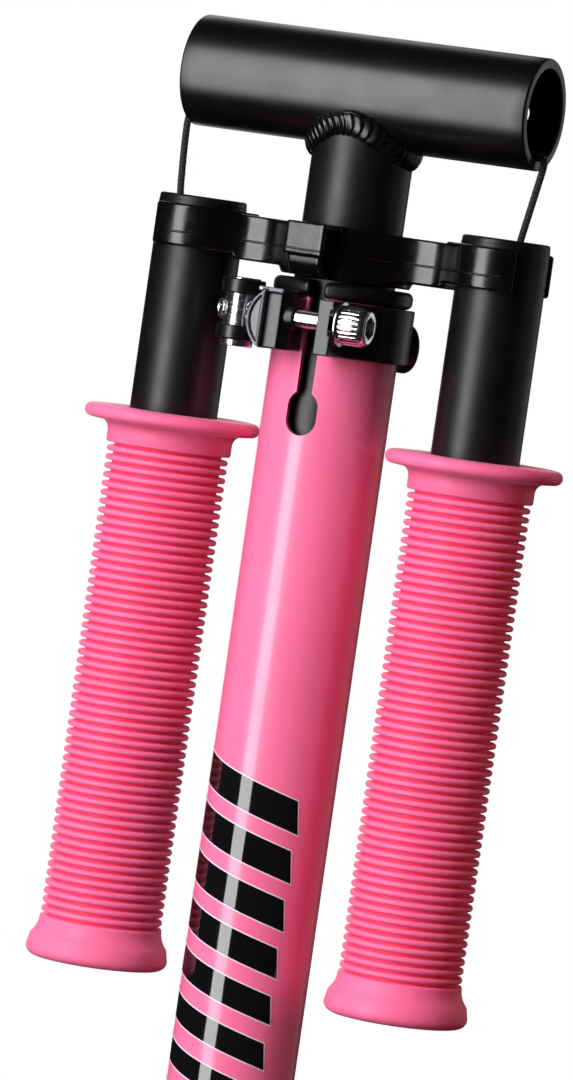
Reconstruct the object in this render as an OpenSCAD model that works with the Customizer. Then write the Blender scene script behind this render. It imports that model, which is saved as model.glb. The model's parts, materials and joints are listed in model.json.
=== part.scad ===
// Folding handlebar of a kick scooter, stowed: outer column, telescoping
// stem with its tee, quick-release clamp and two handles hung in a holder.
// +Z runs up the column, +X points to the right handle and -Y to the rider's
// front. The origin is the middle of the column's lower mouth.

/* [Outer column] */
// Diameter of the fork's steerer that the column's foot takes
steerer_d = 28.6; // [25.4:0.1:34.4]
// Wall of the column
column_wall = 1.6; // [1.2:0.1:2.4]
// Length of the column
column_len = 430; // [360:5:520]
// Depth of the socket for the steerer
socket_len = 40; // [30:1:50]
// Width of the slit that lets the socket squeeze
socket_slit_w = 3; // [2:0.5:5]
// How far the stop above the socket stands in
stop_in = 1.8; // [1:0.1:3]
// Height of the stop above the socket
stop_h = 3; // [2:0.5:5]
// Width of the slot down the front of the column's top
slot_w = 4.2; // [3:0.1:6]
// Width of the keyhole at the slot's lower end
keyhole_w = 8; // [7:0.5:10]
// Height of the keyhole
keyhole_h = 11.2; // [10:0.2:16]
// Middle of the keyhole below the column's top
keyhole_drop = 28.7; // [26:0.1:36]

/* [Guide bush] */
// Wall of the bush between the stem and the column
bush_wall = 1.5; // [1:0.1:2.5]
// Length of the bush inside the column
bush_len = 20; // [16:1:20]
// Height of the bush's lip above the column
lip_h = 4.3; // [3:0.1:6]
// How far the lip stands out past the column
lip_out = 1.6; // [0.8:0.1:2.4]
// Width of the slit in the bush
bush_slit_w = 3.6; // [2:0.1:5]

/* [Stem] */
// Wall of the stem
stem_wall = 1.6; // [1.2:0.1:2.4]
// How far the stem pulls up out of the column
stem_travel = 200; // [140:5:240]
// Height of the stem's foot above the column's lower mouth
stem_foot = 70; // [60:1:90]
// Bare stem between the holder and the tee
neck_len = 21.7; // [16:0.1:32]
// Size of the weld bead under the tee
weld_w = 2.8; // [1.5:0.1:4]
// Length of the sleeve on the stem's foot
foot_sleeve_len = 25; // [15:1:40]
// Floor of the sleeve on the stem's foot
foot_floor = 3; // [2:0.5:5]

/* [Tee] */
// Length of the tee from end to end
tee_len = 93; // [80:1:120]
// Wall of the tee
tee_wall = 2.7; // [1.6:0.1:3.5]
// How deep a handle goes into the tee
insert_depth = 39; // [30:1:40]

/* [Handles] */
// Outside diameter of the handle tubes
handle_od = 22.2; // [19:0.1:27]
// Wall of the handle tubes
handle_wall = 1.5; // [1.2:0.1:2]
// Bare handle from its mouth to the grip
bare_len = 54.8; // [48:0.1:80]
// Height of the handle's mouth above its clip
mouth_stand = 2.4; // [2:0.1:8]
// Middle of the snap button below the handle's mouth
button_drop = 27; // [24:0.5:32]
// Gap between a grip's flange and the column
grip_gap = 3.1; // [1:0.1:10]

/* [Grips] */
// Length of a grip
grip_len = 140; // [110:1:160]
// Wall of a grip over the tube
grip_wall = 4.25; // [2.5:0.05:6]
// Diameter of the grip's flange
flange_d = 44.4; // [38:0.2:54]
// Thickness of the grip's flange
flange_t = 3.6; // [2.5:0.1:5]
// How far the flare stands out past the grip
flare_out = 2.6; // [1:0.1:5]
// Length of the flared end
flare_len = 11; // [8:0.5:20]
// Rubber that closes the grip's end
grip_end = 3; // [2:0.5:5]
// Room for the knot between the tube and the closed end
knot_room = 8; // [7:0.5:12]

/* [Snap buttons] */
// Diameter of a handle's button
button_d = 6.5; // [5:0.1:7]
// How far a handle's button stands out of the tube
button_out = 3.2; // [2:0.1:4]
// Diameter of the stem's button
stem_button_d = 7; // [5:0.1:7]
// Thickness of the spring strip
strip_t = 0.8; // [0.5:0.1:1]

/* [Quick-release clamp] */
// Height of the collar
collar_h = 13.8; // [11:0.1:18]
// Wall of the collar
collar_wall = 2.45; // [2:0.05:4]
// Gap between the collar's ears
ear_gap = 9.8; // [5:0.1:12]
// Thickness of each ear
ear_t = 4; // [3:0.1:6]
// Front of the ears in front of the collar's ring
ear_reach = 7.6; // [7:0.1:11]
// Diameter of the clamp bolt
bolt_d = 6; // [5:0.1:7]
// How far the bolt sits above the middle of the ears
bolt_rise = 1.4; // [0:0.1:2]
// Diameter of the bolt's head
head_d = 10.4; // [9:0.1:12]
// Length of the bolt's head
head_len = 8; // [5:0.1:10]
// Thickness of the washer under the head
washer_t = 0.6; // [0.4:0.1:1.5]
// Thickness of the saddle washer at its middle
saddle_t = 4.1; // [4:0.1:6]
// Diameter of the barrel nut
barrel_d = 8; // [8:0.1:10]
// Thickness of each prong of the lever
prong_t = 3.7; // [2.5:0.1:5]
// Thickness of the lever's arm
lever_t = 3.6; // [2.5:0.1:5]
// Height of the lever's arm
lever_h = 12.6; // [10:0.1:16]
// How far the lever's tip hangs below its pivot
lever_drop = 4; // [0:0.5:12]

/* [Handle holder] */
// Height of the hub and the arms
hub_h = 11.7; // [9:0.1:16]
// Wall of the hub around the stem
hub_wall = 3.4; // [2.5:0.1:5]
// Depth of the arms from front to back
arm_w = 12; // [8:0.5:16]
// Height of the clips
clip_h = 11.9; // [9:0.1:16]
// Wall of the clips
clip_wall = 2.2; // [1.8:0.1:3.5]
// How far the clips sit above the hub's top
clip_rise = 1.7; // [0:0.1:4]
// Gap between the holder and the bush's lip
holder_gap = 0.7; // [0.3:0.1:2]
// Width of the block on the hub's front
block_w = 11.3; // [8:0.1:16]
// Height of the block on the hub's front
block_h = 7.5; // [5:0.1:10]

/* [Steerer clamp] */
// Height of the clamp at the column's foot
foot_clamp_h = 34; // [28:1:44]
// Wall of the clamp at the column's foot
foot_clamp_wall = 4.5; // [3:0.1:6]
// Gap between the foot clamp's ears
foot_gap = 4; // [2:0.5:6]
// Thickness of each ear of the foot clamp
foot_ear_t = 7; // [5:0.5:10]

/* [Elastic cord] */
// Diameter of the elastic cord
cord_d = 1.9; // [1.5:0.1:2.6]

/* [Hidden] */
$fn = 64;
eps = 0.01;          // overshoot of a cut
fit = 0.05;          // radial clearance of a running or seated fit
slide_fit = 0.1;     // radial clearance of a loose sliding fit
tee_fit = 0.2;       // radial clearance of a handle in the tee
stand_off = 0.3;     // gap between curved faces that move past each other
far = 200;           // more than any cross-section

column_bore_r = steerer_d / 2;
socket_r = column_bore_r + fit;
column_r = column_bore_r + column_wall;
bush_r = column_bore_r - fit;
stem_r = bush_r - bush_wall - fit;
stem_bore_r = stem_r - stem_wall;
lip_r = column_r + lip_out;

hub_z = column_len + lip_h + holder_gap;
hub_top = hub_z + hub_h;
clip_top = hub_top + clip_rise;
mouth_z = clip_top + mouth_stand;
handle_r = handle_od / 2;
handle_bore_r = handle_r - handle_wall;
tee_bore_r = handle_r + tee_fit;
tee_r = tee_bore_r + tee_wall;
tee_z = hub_top + neck_len + tee_r;
flange_r = flange_d / 2;
handle_x = column_r + grip_gap + flange_r;
clip_bore_r = handle_r + slide_fit;
clip_r = clip_bore_r + clip_wall;
hub_bore_r = stem_r + slide_fit;
hub_r = hub_bore_r + hub_wall;
grip_top = mouth_z - bare_len;
grip_foot = grip_top - grip_len;
grip_bore_r = handle_r + fit;
grip_r = grip_bore_r + grip_wall;
tube_foot = grip_foot + grip_end + knot_room;
button_z = mouth_z - button_drop;
button_hole_x = tee_len / 2 - insert_depth + button_drop;
stem_button_z = column_len - keyhole_drop - stem_travel;

collar_bore_r = column_r + fit;
collar_r = collar_bore_r + collar_wall;
collar_z = column_len - collar_h;
bolt_r = bolt_d / 2;
head_r = head_d / 2;
ear_z = collar_z + collar_h / 2;
bolt_z = ear_z + bolt_rise;
ear_x = ear_gap / 2 + ear_t;
ear_front = collar_r + ear_reach;
bolt_y = -(ear_front - ear_reach / 2 - 0.2);
barrel_r = barrel_d / 2;
barrel_x = -(ear_x + saddle_t + barrel_r + 0.25);
barrel_low = 1.5;    // barrel nut below the lower prong
barrel_high = 0.4;   // barrel nut above the upper prong
prong_r = barrel_r + 1.5;
prong_z = bolt_r + 0.9;
bolt_end = -(barrel_x - barrel_r) + 1.6;
lever_in = collar_r + 0.9;
lever_out = lever_in + lever_t;
lever_from = 212;    // where the arm leaves the fork, round the column
lever_to = 50;       // where the arm's tip ends

foot_clamp_r = collar_bore_r + foot_clamp_wall;
foot_clamp_z = 2;
foot_ear_x = foot_gap / 2 + foot_ear_t;
foot_ear_y = foot_clamp_r + 11;
foot_bolt_y = foot_clamp_r + 5;
foot_bolt_r = 3;
foot_head_r = 5;
foot_head_len = 6;
foot_bolt_zs = [foot_clamp_z + foot_clamp_h / 4, foot_clamp_z + foot_clamp_h * 3 / 4];

lip_from = 55;       // tip of a clip's front jaw, from straight out
lip_to = 44;         // tip of a clip's rear jaw, from straight out
block_turn = -9;     // how far the hub's block sits round from the front
block_y = 24;        // front of the block

cord_r = cord_d / 2;
cord_low = tee_bore_r - cord_r - 0.15;
knot_r = 3;
cord_washer_t = 1.2;
cord_washer_r = handle_r - 0.4;
mouth_bush_rim = 1.6;
mouth_bush_len = 8;
mouth_bush_bore_r = handle_bore_r - 1.1;
// Route of the elastic between the tee's end and the handle's mouth, as
// distances past the tee's end, across, and below the tee's middle.
cord_span = [
    [-1.5, 0, 10.2], [0, 0, 10.2], [1, 0, 10.6], [1.6, -0.1, 11.6], [1.7, -0.2, 13],
    [1.5, -0.4, 16], [0.9, -0.6, 21], [0, -0.8, 26], [-0.9, -1, 31],
    [-1.7, -0.9, 36], [-3, -0.5, 42], [-4.4, -0.2, 47], [-5.3, 0, 52], [-5.3, 0, 54]
];

// ---- Shared shapes ----

// A straight tube up Z
module tube(outer, inner, z, h) {
    translate([0, 0, z]) difference() {
        cylinder(r = outer, h = h);
        translate([0, 0, -eps]) cylinder(r = inner, h = h + 2 * eps);
    }
}

// A round bar along X from x0 to x1
module bar_x(r, x0, x1) {
    translate([x0, 0, 0]) rotate([0, 90, 0]) cylinder(r = r, h = x1 - x0);
}

// A round bar along Y from y0 to y1
module bar_y(r, y0, y1) {
    translate([0, y0, 0]) rotate([-90, 0, 0]) cylinder(r = r, h = y1 - y0);
}

// A wedge of the plane from angle a to angle b, less than half a turn
module wedge(a, b) {
    polygon([[0, 0], far * [cos(a), sin(a)], 2 * far * [cos((a + b) / 2), sin((a + b) / 2)],
             far * [cos(b), sin(b)]]);
}

// Unit vector of v
function unit(v) = v / norm(v);

// A round tube swept along points, with the given radius and sides
module sweep(points, r, sides = 8) {
    n = len(points);
    dir = [for (i = [0 : n - 1]) unit(points[min(i + 1, n - 1)] - points[max(i - 1, 0)])];
    across = [0, 1, 0];
    rings = [for (i = [0 : n - 1]) let (u = unit(across - dir[i] * (across * dir[i])),
                                       v = cross(dir[i], u))
        for (k = [0 : sides - 1]) points[i] + r * (cos(360 * k / sides) * u
                                                 + sin(360 * k / sides) * v)];
    walls = [for (i = [0 : n - 2]) for (k = [0 : sides - 1])
        [i * sides + k, i * sides + (k + 1) % sides,
         (i + 1) * sides + (k + 1) % sides, (i + 1) * sides + k]];
    first = [for (k = [0 : sides - 1]) sides - 1 - k];
    last = [for (k = [0 : sides - 1]) (n - 1) * sides + k];
    polyhedron(points = rings, faces = concat([first], [last],
               [for (w = walls) [w[0], w[1], w[2], w[3]]]));
}

// The right-hand piece as it is, or its mirror for the left hand
module side(hand) {
    if (hand == "left") mirror([1, 0, 0]) children();
    else children();
}

// ---- Outer column ----

// The outer tube, with a stop ring inside that the steerer's top meets
module column_tube() {
    color("hotpink") difference() {
        cylinder(r = column_r, h = column_len);
        translate([0, 0, socket_len + stop_h]) cylinder(r = column_bore_r, h = column_len);
        translate([0, 0, -eps]) cylinder(r = column_bore_r - stop_in, h = column_len);
        translate([0, 0, -eps]) cylinder(r = socket_r, h = socket_len + eps);
        front_slot();
        socket_slit();
    }
}

module front_slot() {
    depth = column_r + eps;
    reach = keyhole_h / 2 - keyhole_w / 2;
    kz = column_len - keyhole_drop;
    translate([-slot_w / 2, -depth, kz]) cube([slot_w, depth / 2, keyhole_drop + eps]);
    for (dz = [-reach, reach]) translate([0, 0, kz + dz]) bar_y(keyhole_w / 2, -depth, -depth / 2);
    translate([-keyhole_w / 2, -depth, kz - reach]) cube([keyhole_w, depth / 2, 2 * reach]);
}

module socket_slit() {
    top = socket_len + 4;
    translate([-socket_slit_w / 2, column_r / 2, -eps]) cube([socket_slit_w, column_r, top + eps]);
    translate([0, 0, top]) bar_y(socket_slit_w / 2 + 1, column_r / 2, column_r + eps);
}

module guide_bush() {
    round = lip_h / 2 - 0.35;
    flat = lip_r - round;
    color("black") difference() {
        union() {
            tube(bush_r, stem_r + fit, column_len - bush_len, bush_len + eps);
            rotate_extrude() translate([0, column_len]) difference() {
                union() {
                    square([flat, lip_h]);
                    translate([flat, round]) circle(r = round);
                    translate([flat, lip_h - round]) circle(r = round);
                    translate([0, round]) square([lip_r, lip_h - 2 * round]);
                }
                translate([-eps, -lip_h]) square([stem_r + fit + eps, 3 * lip_h]);
            }
        }
        translate([-bush_slit_w / 2, -lip_r - 1, column_len - bush_len - 1])
            cube([bush_slit_w, lip_r, bush_len + lip_h + 2]);
    }
}

// ---- Quick-release clamp ----

module clamp_collar() {
    color([0.09, 0.09, 0.1]) difference() {
        translate([0, 0, collar_z]) linear_extrude(collar_h - 0.1) difference() {
            union() {
                circle(r = collar_r);
                translate([-ear_x, -ear_front]) square([2 * ear_x, ear_front]);
            }
            circle(r = collar_bore_r);
            translate([-ear_gap / 2, -ear_front - 1]) square([ear_gap, ear_front + 1]);
        }
        translate([0, bolt_y, bolt_z]) bar_x(bolt_r + slide_fit, -far, far);
    }
}

module clamp_bolt() {
    head_x = ear_x + washer_t + eps;
    color("silver") translate([0, bolt_y, bolt_z]) difference() {
        union() {
            bar_x(bolt_r, -bolt_end, head_x + 1);
            bar_x(head_r, head_x, head_x + head_len);
        }
        translate([head_x + head_len - 4, 0, 0]) rotate([0, 90, 0]) cylinder(r = 2.9, h = 5, $fn = 6);
    }
}

module bolt_washer() {
    color("silver") translate([0, bolt_y, bolt_z]) difference() {
        bar_x(head_r + 0.4, ear_x + eps / 2, ear_x + washer_t);
        bar_x(bolt_r + slide_fit, 0, far);
    }
}

// The curved block that the lever's prongs bear on
module saddle_washer() {
    half_h = collar_h / 2 + 0.3;
    arc_r = (half_h * half_h + saddle_t * saddle_t) / (2 * saddle_t);
    color([0.55, 0.57, 0.62]) difference() {
        intersection() {
            translate([-ear_x + arc_r - saddle_t, bolt_y, ear_z])
                bar_y(arc_r, -6.2, 5.2);
            translate([-ear_x - saddle_t - 1, bolt_y - 6.2, ear_z - half_h])
                cube([saddle_t + 1 - eps / 2, 11.4, 2 * half_h]);
        }
        translate([0, bolt_y, bolt_z]) bar_x(bolt_r + slide_fit, -far, far);
        for (s = [-1, 1]) translate([barrel_x, bolt_y, bolt_z + s * (prong_z - stand_off + 10)])
            cylinder(r = prong_r + stand_off, h = 20, center = true);
    }
}

module barrel_nut() {
    low = prong_z + prong_t + barrel_low;
    high = prong_z + prong_t + barrel_high;
    color("silver") difference() {
        translate([barrel_x, bolt_y, bolt_z - low]) cylinder(r = barrel_r, h = low + high);
        translate([0, bolt_y, bolt_z]) bar_x(bolt_r + fit, -far, far);
    }
}

// The lever's arm round the back of the collar, seen from above
module lever_plan() {
    difference() {
        intersection() {
            circle(r = lever_out);
            union() {
                wedge(lever_to, lever_to + 90);
                wedge(lever_to + 89, lever_from);
            }
        }
        circle(r = lever_in);
    }
    mid = (lever_in + lever_out) / 2;
    translate(mid * [cos(lever_to), sin(lever_to)]) circle(r = lever_t / 2);
}

// The part of the lever between its pivot and its arm, seen from above
module lever_root() {
    start = [cos(lever_from - 3), sin(lever_from - 3)];
    next = [cos(lever_from - 12), sin(lever_from - 12)];
    translate([barrel_x, bolt_y]) circle(r = prong_r);
    polygon([[barrel_x - prong_r + 0.2, bolt_y], (lever_out - 0.3) * start,
             (lever_out - 0.3) * next, (lever_in + 0.3) * next, (lever_in + 0.3) * start,
             [barrel_x + prong_r - 2.2, bolt_y + 3.2]]);
}

module clamp_lever() {
    span = norm([barrel_x, bolt_y]) + lever_in;
    lean = atan(lever_drop / span);
    aim = atan2(-bolt_y, -barrel_x);
    fork_h = prong_z + prong_t;
    color([0.05, 0.05, 0.06]) difference() {
        union() {
            translate([0, 0, bolt_z - fork_h]) linear_extrude(2 * fork_h) lever_root();
            intersection() {
                translate([0, 0, bolt_z - 40]) linear_extrude(80) lever_plan();
                translate([barrel_x, bolt_y, bolt_z]) rotate([0, 0, aim]) rotate([0, lean, 0])
                    translate([0, -far / 2, -lever_h / 2]) cube([far, far, lever_h]);
            }
        }
        translate([barrel_x, bolt_y, bolt_z - 40]) cylinder(r = barrel_r + fit, h = 80);
        translate([barrel_x, bolt_y, bolt_z - prong_z]) cylinder(r = prong_r + 3.4, h = 2 * prong_z);
    }
}

// ---- Steerer clamp at the column's foot ----

module steerer_clamp() {
    color([0.09, 0.09, 0.1]) difference() {
        translate([0, 0, foot_clamp_z]) linear_extrude(foot_clamp_h) difference() {
            union() {
                circle(r = foot_clamp_r);
                translate([-foot_ear_x, 0]) square([2 * foot_ear_x, foot_ear_y]);
            }
            circle(r = collar_bore_r);
            translate([-foot_gap / 2, 0]) square([foot_gap, far]);
        }
        for (z = foot_bolt_zs) translate([0, foot_bolt_y, z]) bar_x(foot_bolt_r + slide_fit, -far, far);
    }
}

module steerer_clamp_bolts() {
    color("silver") for (z = foot_bolt_zs) translate([0, foot_bolt_y, z]) difference() {
        union() {
            bar_x(foot_bolt_r, -foot_ear_x - 1, foot_ear_x + 1);
            bar_x(foot_head_r, foot_ear_x + eps, foot_ear_x + foot_head_len);
        }
        translate([foot_ear_x + foot_head_len - 3, 0, 0]) rotate([0, 90, 0])
            cylinder(r = 2.9, h = 4, $fn = 6);
    }
}

// ---- Telescoping stem ----

module stem_tube() {
    color([0.07, 0.07, 0.08]) difference() {
        tube(stem_r, stem_bore_r, stem_foot, tee_z - stem_foot);
        translate([0, 0, tee_z]) bar_x(tee_r, -far, far);
        translate([0, 0, stem_button_z]) bar_y(stem_button_d / 2 + slide_fit, -far, 0);
    }
}

module tee_bar() {
    half = tee_len / 2;
    color([0.07, 0.07, 0.08]) difference() {
        translate([0, 0, tee_z]) difference() {
            bar_x(tee_r, -half, half);
            bar_x(tee_bore_r, -half - eps, half + eps);
        }
        for (s = [-1, 1]) translate([s * button_hole_x, 0, tee_z])
            bar_y(button_d / 2 + tee_fit, 0, far);
    }
}

// The bead follows the saddle line where the stem meets the tee
module weld_bead() {
    color([0.06, 0.06, 0.07]) difference() {
        intersection() {
            translate([0, 0, tee_z - tee_r - 2 * weld_w])
                cylinder(r = stem_r + weld_w, h = tee_r + 2 * weld_w - 4.5);
            translate([0, 0, tee_z]) bar_x(tee_r + weld_w, -far, far);
        }
        translate([0, 0, tee_z]) bar_x(tee_r, -far, far);
        translate([0, 0, stem_foot]) cylinder(r = stem_r, h = tee_z);
    }
}

module stem_foot_sleeve() {
    low = stem_foot - foot_floor;
    color([0.15, 0.15, 0.16]) difference() {
        translate([0, 0, low]) cylinder(r = column_bore_r - slide_fit, h = foot_sleeve_len + foot_floor);
        translate([0, 0, stem_foot]) cylinder(r = stem_r + fit, h = far);
        translate([0, 0, low - eps]) cylinder(r = stem_bore_r - 3, h = foot_floor + 1);
    }
}

// Points of a half circle under a level, from one angle to another
function half_bend(mid, level, r, from, to, step) =
    [for (a = [from : step : to]) [mid + r * cos(a), level + r * sin(a)]];

// A bent strip that pushes a button out of a tube through its -Y side
module button_strip(bore_r, strip_w, leg) {
    front = bore_r - 1.9;
    rear = sqrt(bore_r * bore_r - strip_w * strip_w / 4) - 0.15;
    top = stem_button_d / 2;
    bend_r = (front + rear) / 2;
    mid = (rear - front) / 2;
    difference() {
        translate([-strip_w / 2, 0, 0]) rotate([90, 0, 90]) linear_extrude(strip_w)
            polygon(concat([[-front, top]], half_bend(mid, -leg, bend_r, 180, 360, 10),
                           [[rear, 0], [rear - strip_t, 0]],
                           half_bend(mid, -leg, bend_r - strip_t, 360, 180, -10),
                           [[-front + strip_t, top]]));
        translate([0, 0, -far]) cylinder(r = cord_r + 0.7, h = far - leg);
    }
}

// A round-nosed button along -Y, from its foot inside the bore to its nose
module snap_button(bore_r, d, nose) {
    foot_y = bore_r - 1.6;
    r = d / 2;
    dome = 1;
    ball = (r * r + dome * dome) / (2 * dome);
    bar_y(r + 0.5, -foot_y - 0.6, -foot_y);
    intersection() {
        bar_y(r, -nose, -foot_y);
        translate([0, -nose + ball, 0]) sphere(r = ball);
    }
}

module stem_button_spring() {
    color("silver") translate([0, 0, stem_button_z]) button_strip(stem_bore_r, 7, 20);
}

module stem_button() {
    color("silver") translate([0, 0, stem_button_z])
        snap_button(stem_bore_r, stem_button_d, column_bore_r - stand_off);
}

module tee_cord() {
    reach = tee_len / 2 + cord_span[0][0];
    color([0.12, 0.12, 0.13]) translate([0, 0, tee_z - cord_low]) bar_x(cord_r, -reach, reach);
}

// ---- Handle holder ----

module handle_holder() {
    clip_z = clip_top - clip_h;
    arm_z = max(hub_z, clip_z);
    color([0.05, 0.05, 0.06]) difference() {
        union() {
            translate([0, 0, hub_z]) cylinder(r = hub_r, h = hub_h);
            translate([-handle_x, -arm_w / 2, hub_z]) cube([2 * handle_x, arm_w, hub_h]);
            for (s = [-1, 1]) translate([s * handle_x, 0, clip_z]) cylinder(r = clip_r, h = clip_h);
            hub_block();
        }
        translate([0, 0, hub_z - far / 2]) cylinder(r = hub_bore_r, h = far);
        for (s = [-1, 1]) translate([s * handle_x, 0, hub_z - far / 2]) {
            cylinder(r = clip_bore_r, h = far);
            translate([s > 0 ? 0 : -far, -far / 2, 0]) cube([far, far, far]);
        }
    }
}

// The square block on the hub's front and the rounded web under it
module hub_block() {
    top = hub_top + 1.4;
    web = top - block_h - hub_z;
    rotate([0, 0, block_turn]) {
        translate([-block_w / 2, -block_y, top - block_h]) cube([block_w, block_y, block_h]);
        intersection() {
            translate([0, -block_y + web + 1, top - block_h]) bar_x(web, -block_w / 2, block_w / 2);
            translate([-block_w / 2, -block_y, hub_z]) cube([block_w, block_y, web]);
        }
        translate([-block_w / 2, -block_y + web + 1, hub_z]) cube([block_w, block_y - web - 1, web]);
    }
}

// The two springy jaws that snap over the right handle's outer half
module clip_jaws() {
    color([0.05, 0.05, 0.06]) translate([handle_x, 0, clip_top - clip_h])
        linear_extrude(clip_h) difference() {
            intersection() {
                circle(r = clip_r);
                translate([0, -far / 2]) square(far);
            }
            circle(r = clip_bore_r);
            wedge(-lip_from, lip_to);
        }
}

// ---- Handles, drawn for the right hand ----

module handle_tube() {
    top = mouth_z - mouth_bush_rim;
    color([0.07, 0.07, 0.08]) translate([handle_x, 0, 0]) difference() {
        tube(handle_r, handle_bore_r, tube_foot, top - tube_foot);
        translate([0, 0, button_z]) bar_y(button_d / 2 + slide_fit, 0, far);
    }
}

module mouth_bush() {
    color([0.1, 0.1, 0.11]) translate([handle_x, 0, mouth_z - mouth_bush_rim]) difference() {
        union() {
            cylinder(r = handle_r - 0.1, h = mouth_bush_rim);
            translate([0, 0, -mouth_bush_len]) cylinder(r = handle_bore_r - fit, h = mouth_bush_len + eps);
        }
        translate([0, 0, -far / 2]) cylinder(r = mouth_bush_bore_r, h = far);
    }
}

// The soft flange at the grip's top, which bends past the lever when the
// stem is pulled up with the handles stowed
module grip_flange() {
    edge = flange_t / 2;
    color("hotpink") translate([handle_x, 0, grip_top - flange_t]) difference() {
        rotate_extrude() {
            square([flange_r - edge, flange_t]);
            translate([flange_r - edge, edge]) circle(r = edge);
        }
        translate([0, 0, -eps]) cylinder(r = grip_bore_r, h = flange_t + 2 * eps);
    }
}

// The grip below its flange, closed at its foot
module grip() {
    round = 4;
    flare_r = grip_r + flare_out;
    color("hotpink") translate([handle_x, 0, grip_foot]) difference() {
        rotate_extrude() {
            square([grip_r, grip_len - flange_t]);
            square([flare_r - round, flare_len]);
            translate([flare_r - round, round]) circle(r = round);
            polygon([[0, round], [flare_r, round], [grip_r, flare_len], [0, flare_len]]);
        }
        translate([0, 0, grip_end]) cylinder(r = grip_bore_r, h = grip_len);
    }
}

module cord_span_piece() {
    end_x = tee_len / 2;
    route = [for (p = cord_span) [end_x + p[0], p[1], tee_z - p[2]]];
    color([0.12, 0.12, 0.13]) sweep(route, cord_r);
}

module cord_tail() {
    top = tee_z - cord_span[len(cord_span) - 1][2] - eps;
    low = tube_foot - cord_washer_t - knot_r;
    color([0.12, 0.12, 0.13]) translate([handle_x, 0, low]) {
        cylinder(r = cord_r, h = top - low);
        sphere(r = knot_r);
    }
}

module cord_washer() {
    color("silver") translate([handle_x, 0, 0])
        tube(cord_washer_r, cord_r + 0.2, tube_foot - cord_washer_t, cord_washer_t - eps);
}

module handle_button_spring() {
    color("silver") translate([handle_x, 0, button_z]) rotate([0, 0, 180])
        button_strip(handle_bore_r, 6, 14);
}

module handle_button() {
    color("silver") translate([handle_x, 0, button_z]) rotate([0, 0, 180])
        snap_button(handle_bore_r, button_d, handle_r + button_out);
}

column_tube();
guide_bush();
clamp_collar();
clamp_bolt();
bolt_washer();
saddle_washer();
barrel_nut();
clamp_lever();
steerer_clamp();
steerer_clamp_bolts();
stem_tube();
tee_bar();
weld_bead();
stem_foot_sleeve();
stem_button_spring();
stem_button();
tee_cord();
handle_holder();
side("left") clip_jaws();  // left_clip_jaws
side("right") clip_jaws();  // right_clip_jaws
side("left") handle_tube();  // left_handle_tube
side("left") mouth_bush();  // left_mouth_bush
side("left") grip();  // left_grip
side("left") grip_flange();  // left_grip_flange
side("left") cord_span_piece();  // left_cord_span
side("left") cord_tail();  // left_cord_tail
side("left") cord_washer();  // left_cord_washer
side("left") handle_button_spring();  // left_button_spring
side("left") handle_button();  // left_button
side("right") handle_tube();  // right_handle_tube
side("right") mouth_bush();  // right_mouth_bush
side("right") grip();  // right_grip
side("right") grip_flange();  // right_grip_flange
side("right") cord_span_piece();  // right_cord_span
side("right") cord_tail();  // right_cord_tail
side("right") cord_washer();  // right_cord_washer
side("right") handle_button_spring();  // right_button_spring
side("right") handle_button();  // right_button
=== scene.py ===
"""Looks of a folding scooter handlebar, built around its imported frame, as a Blender add-on.

Places are in millimetres while a piece is shaped, and its mesh is then made in metres.
"""

import json
import math

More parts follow.
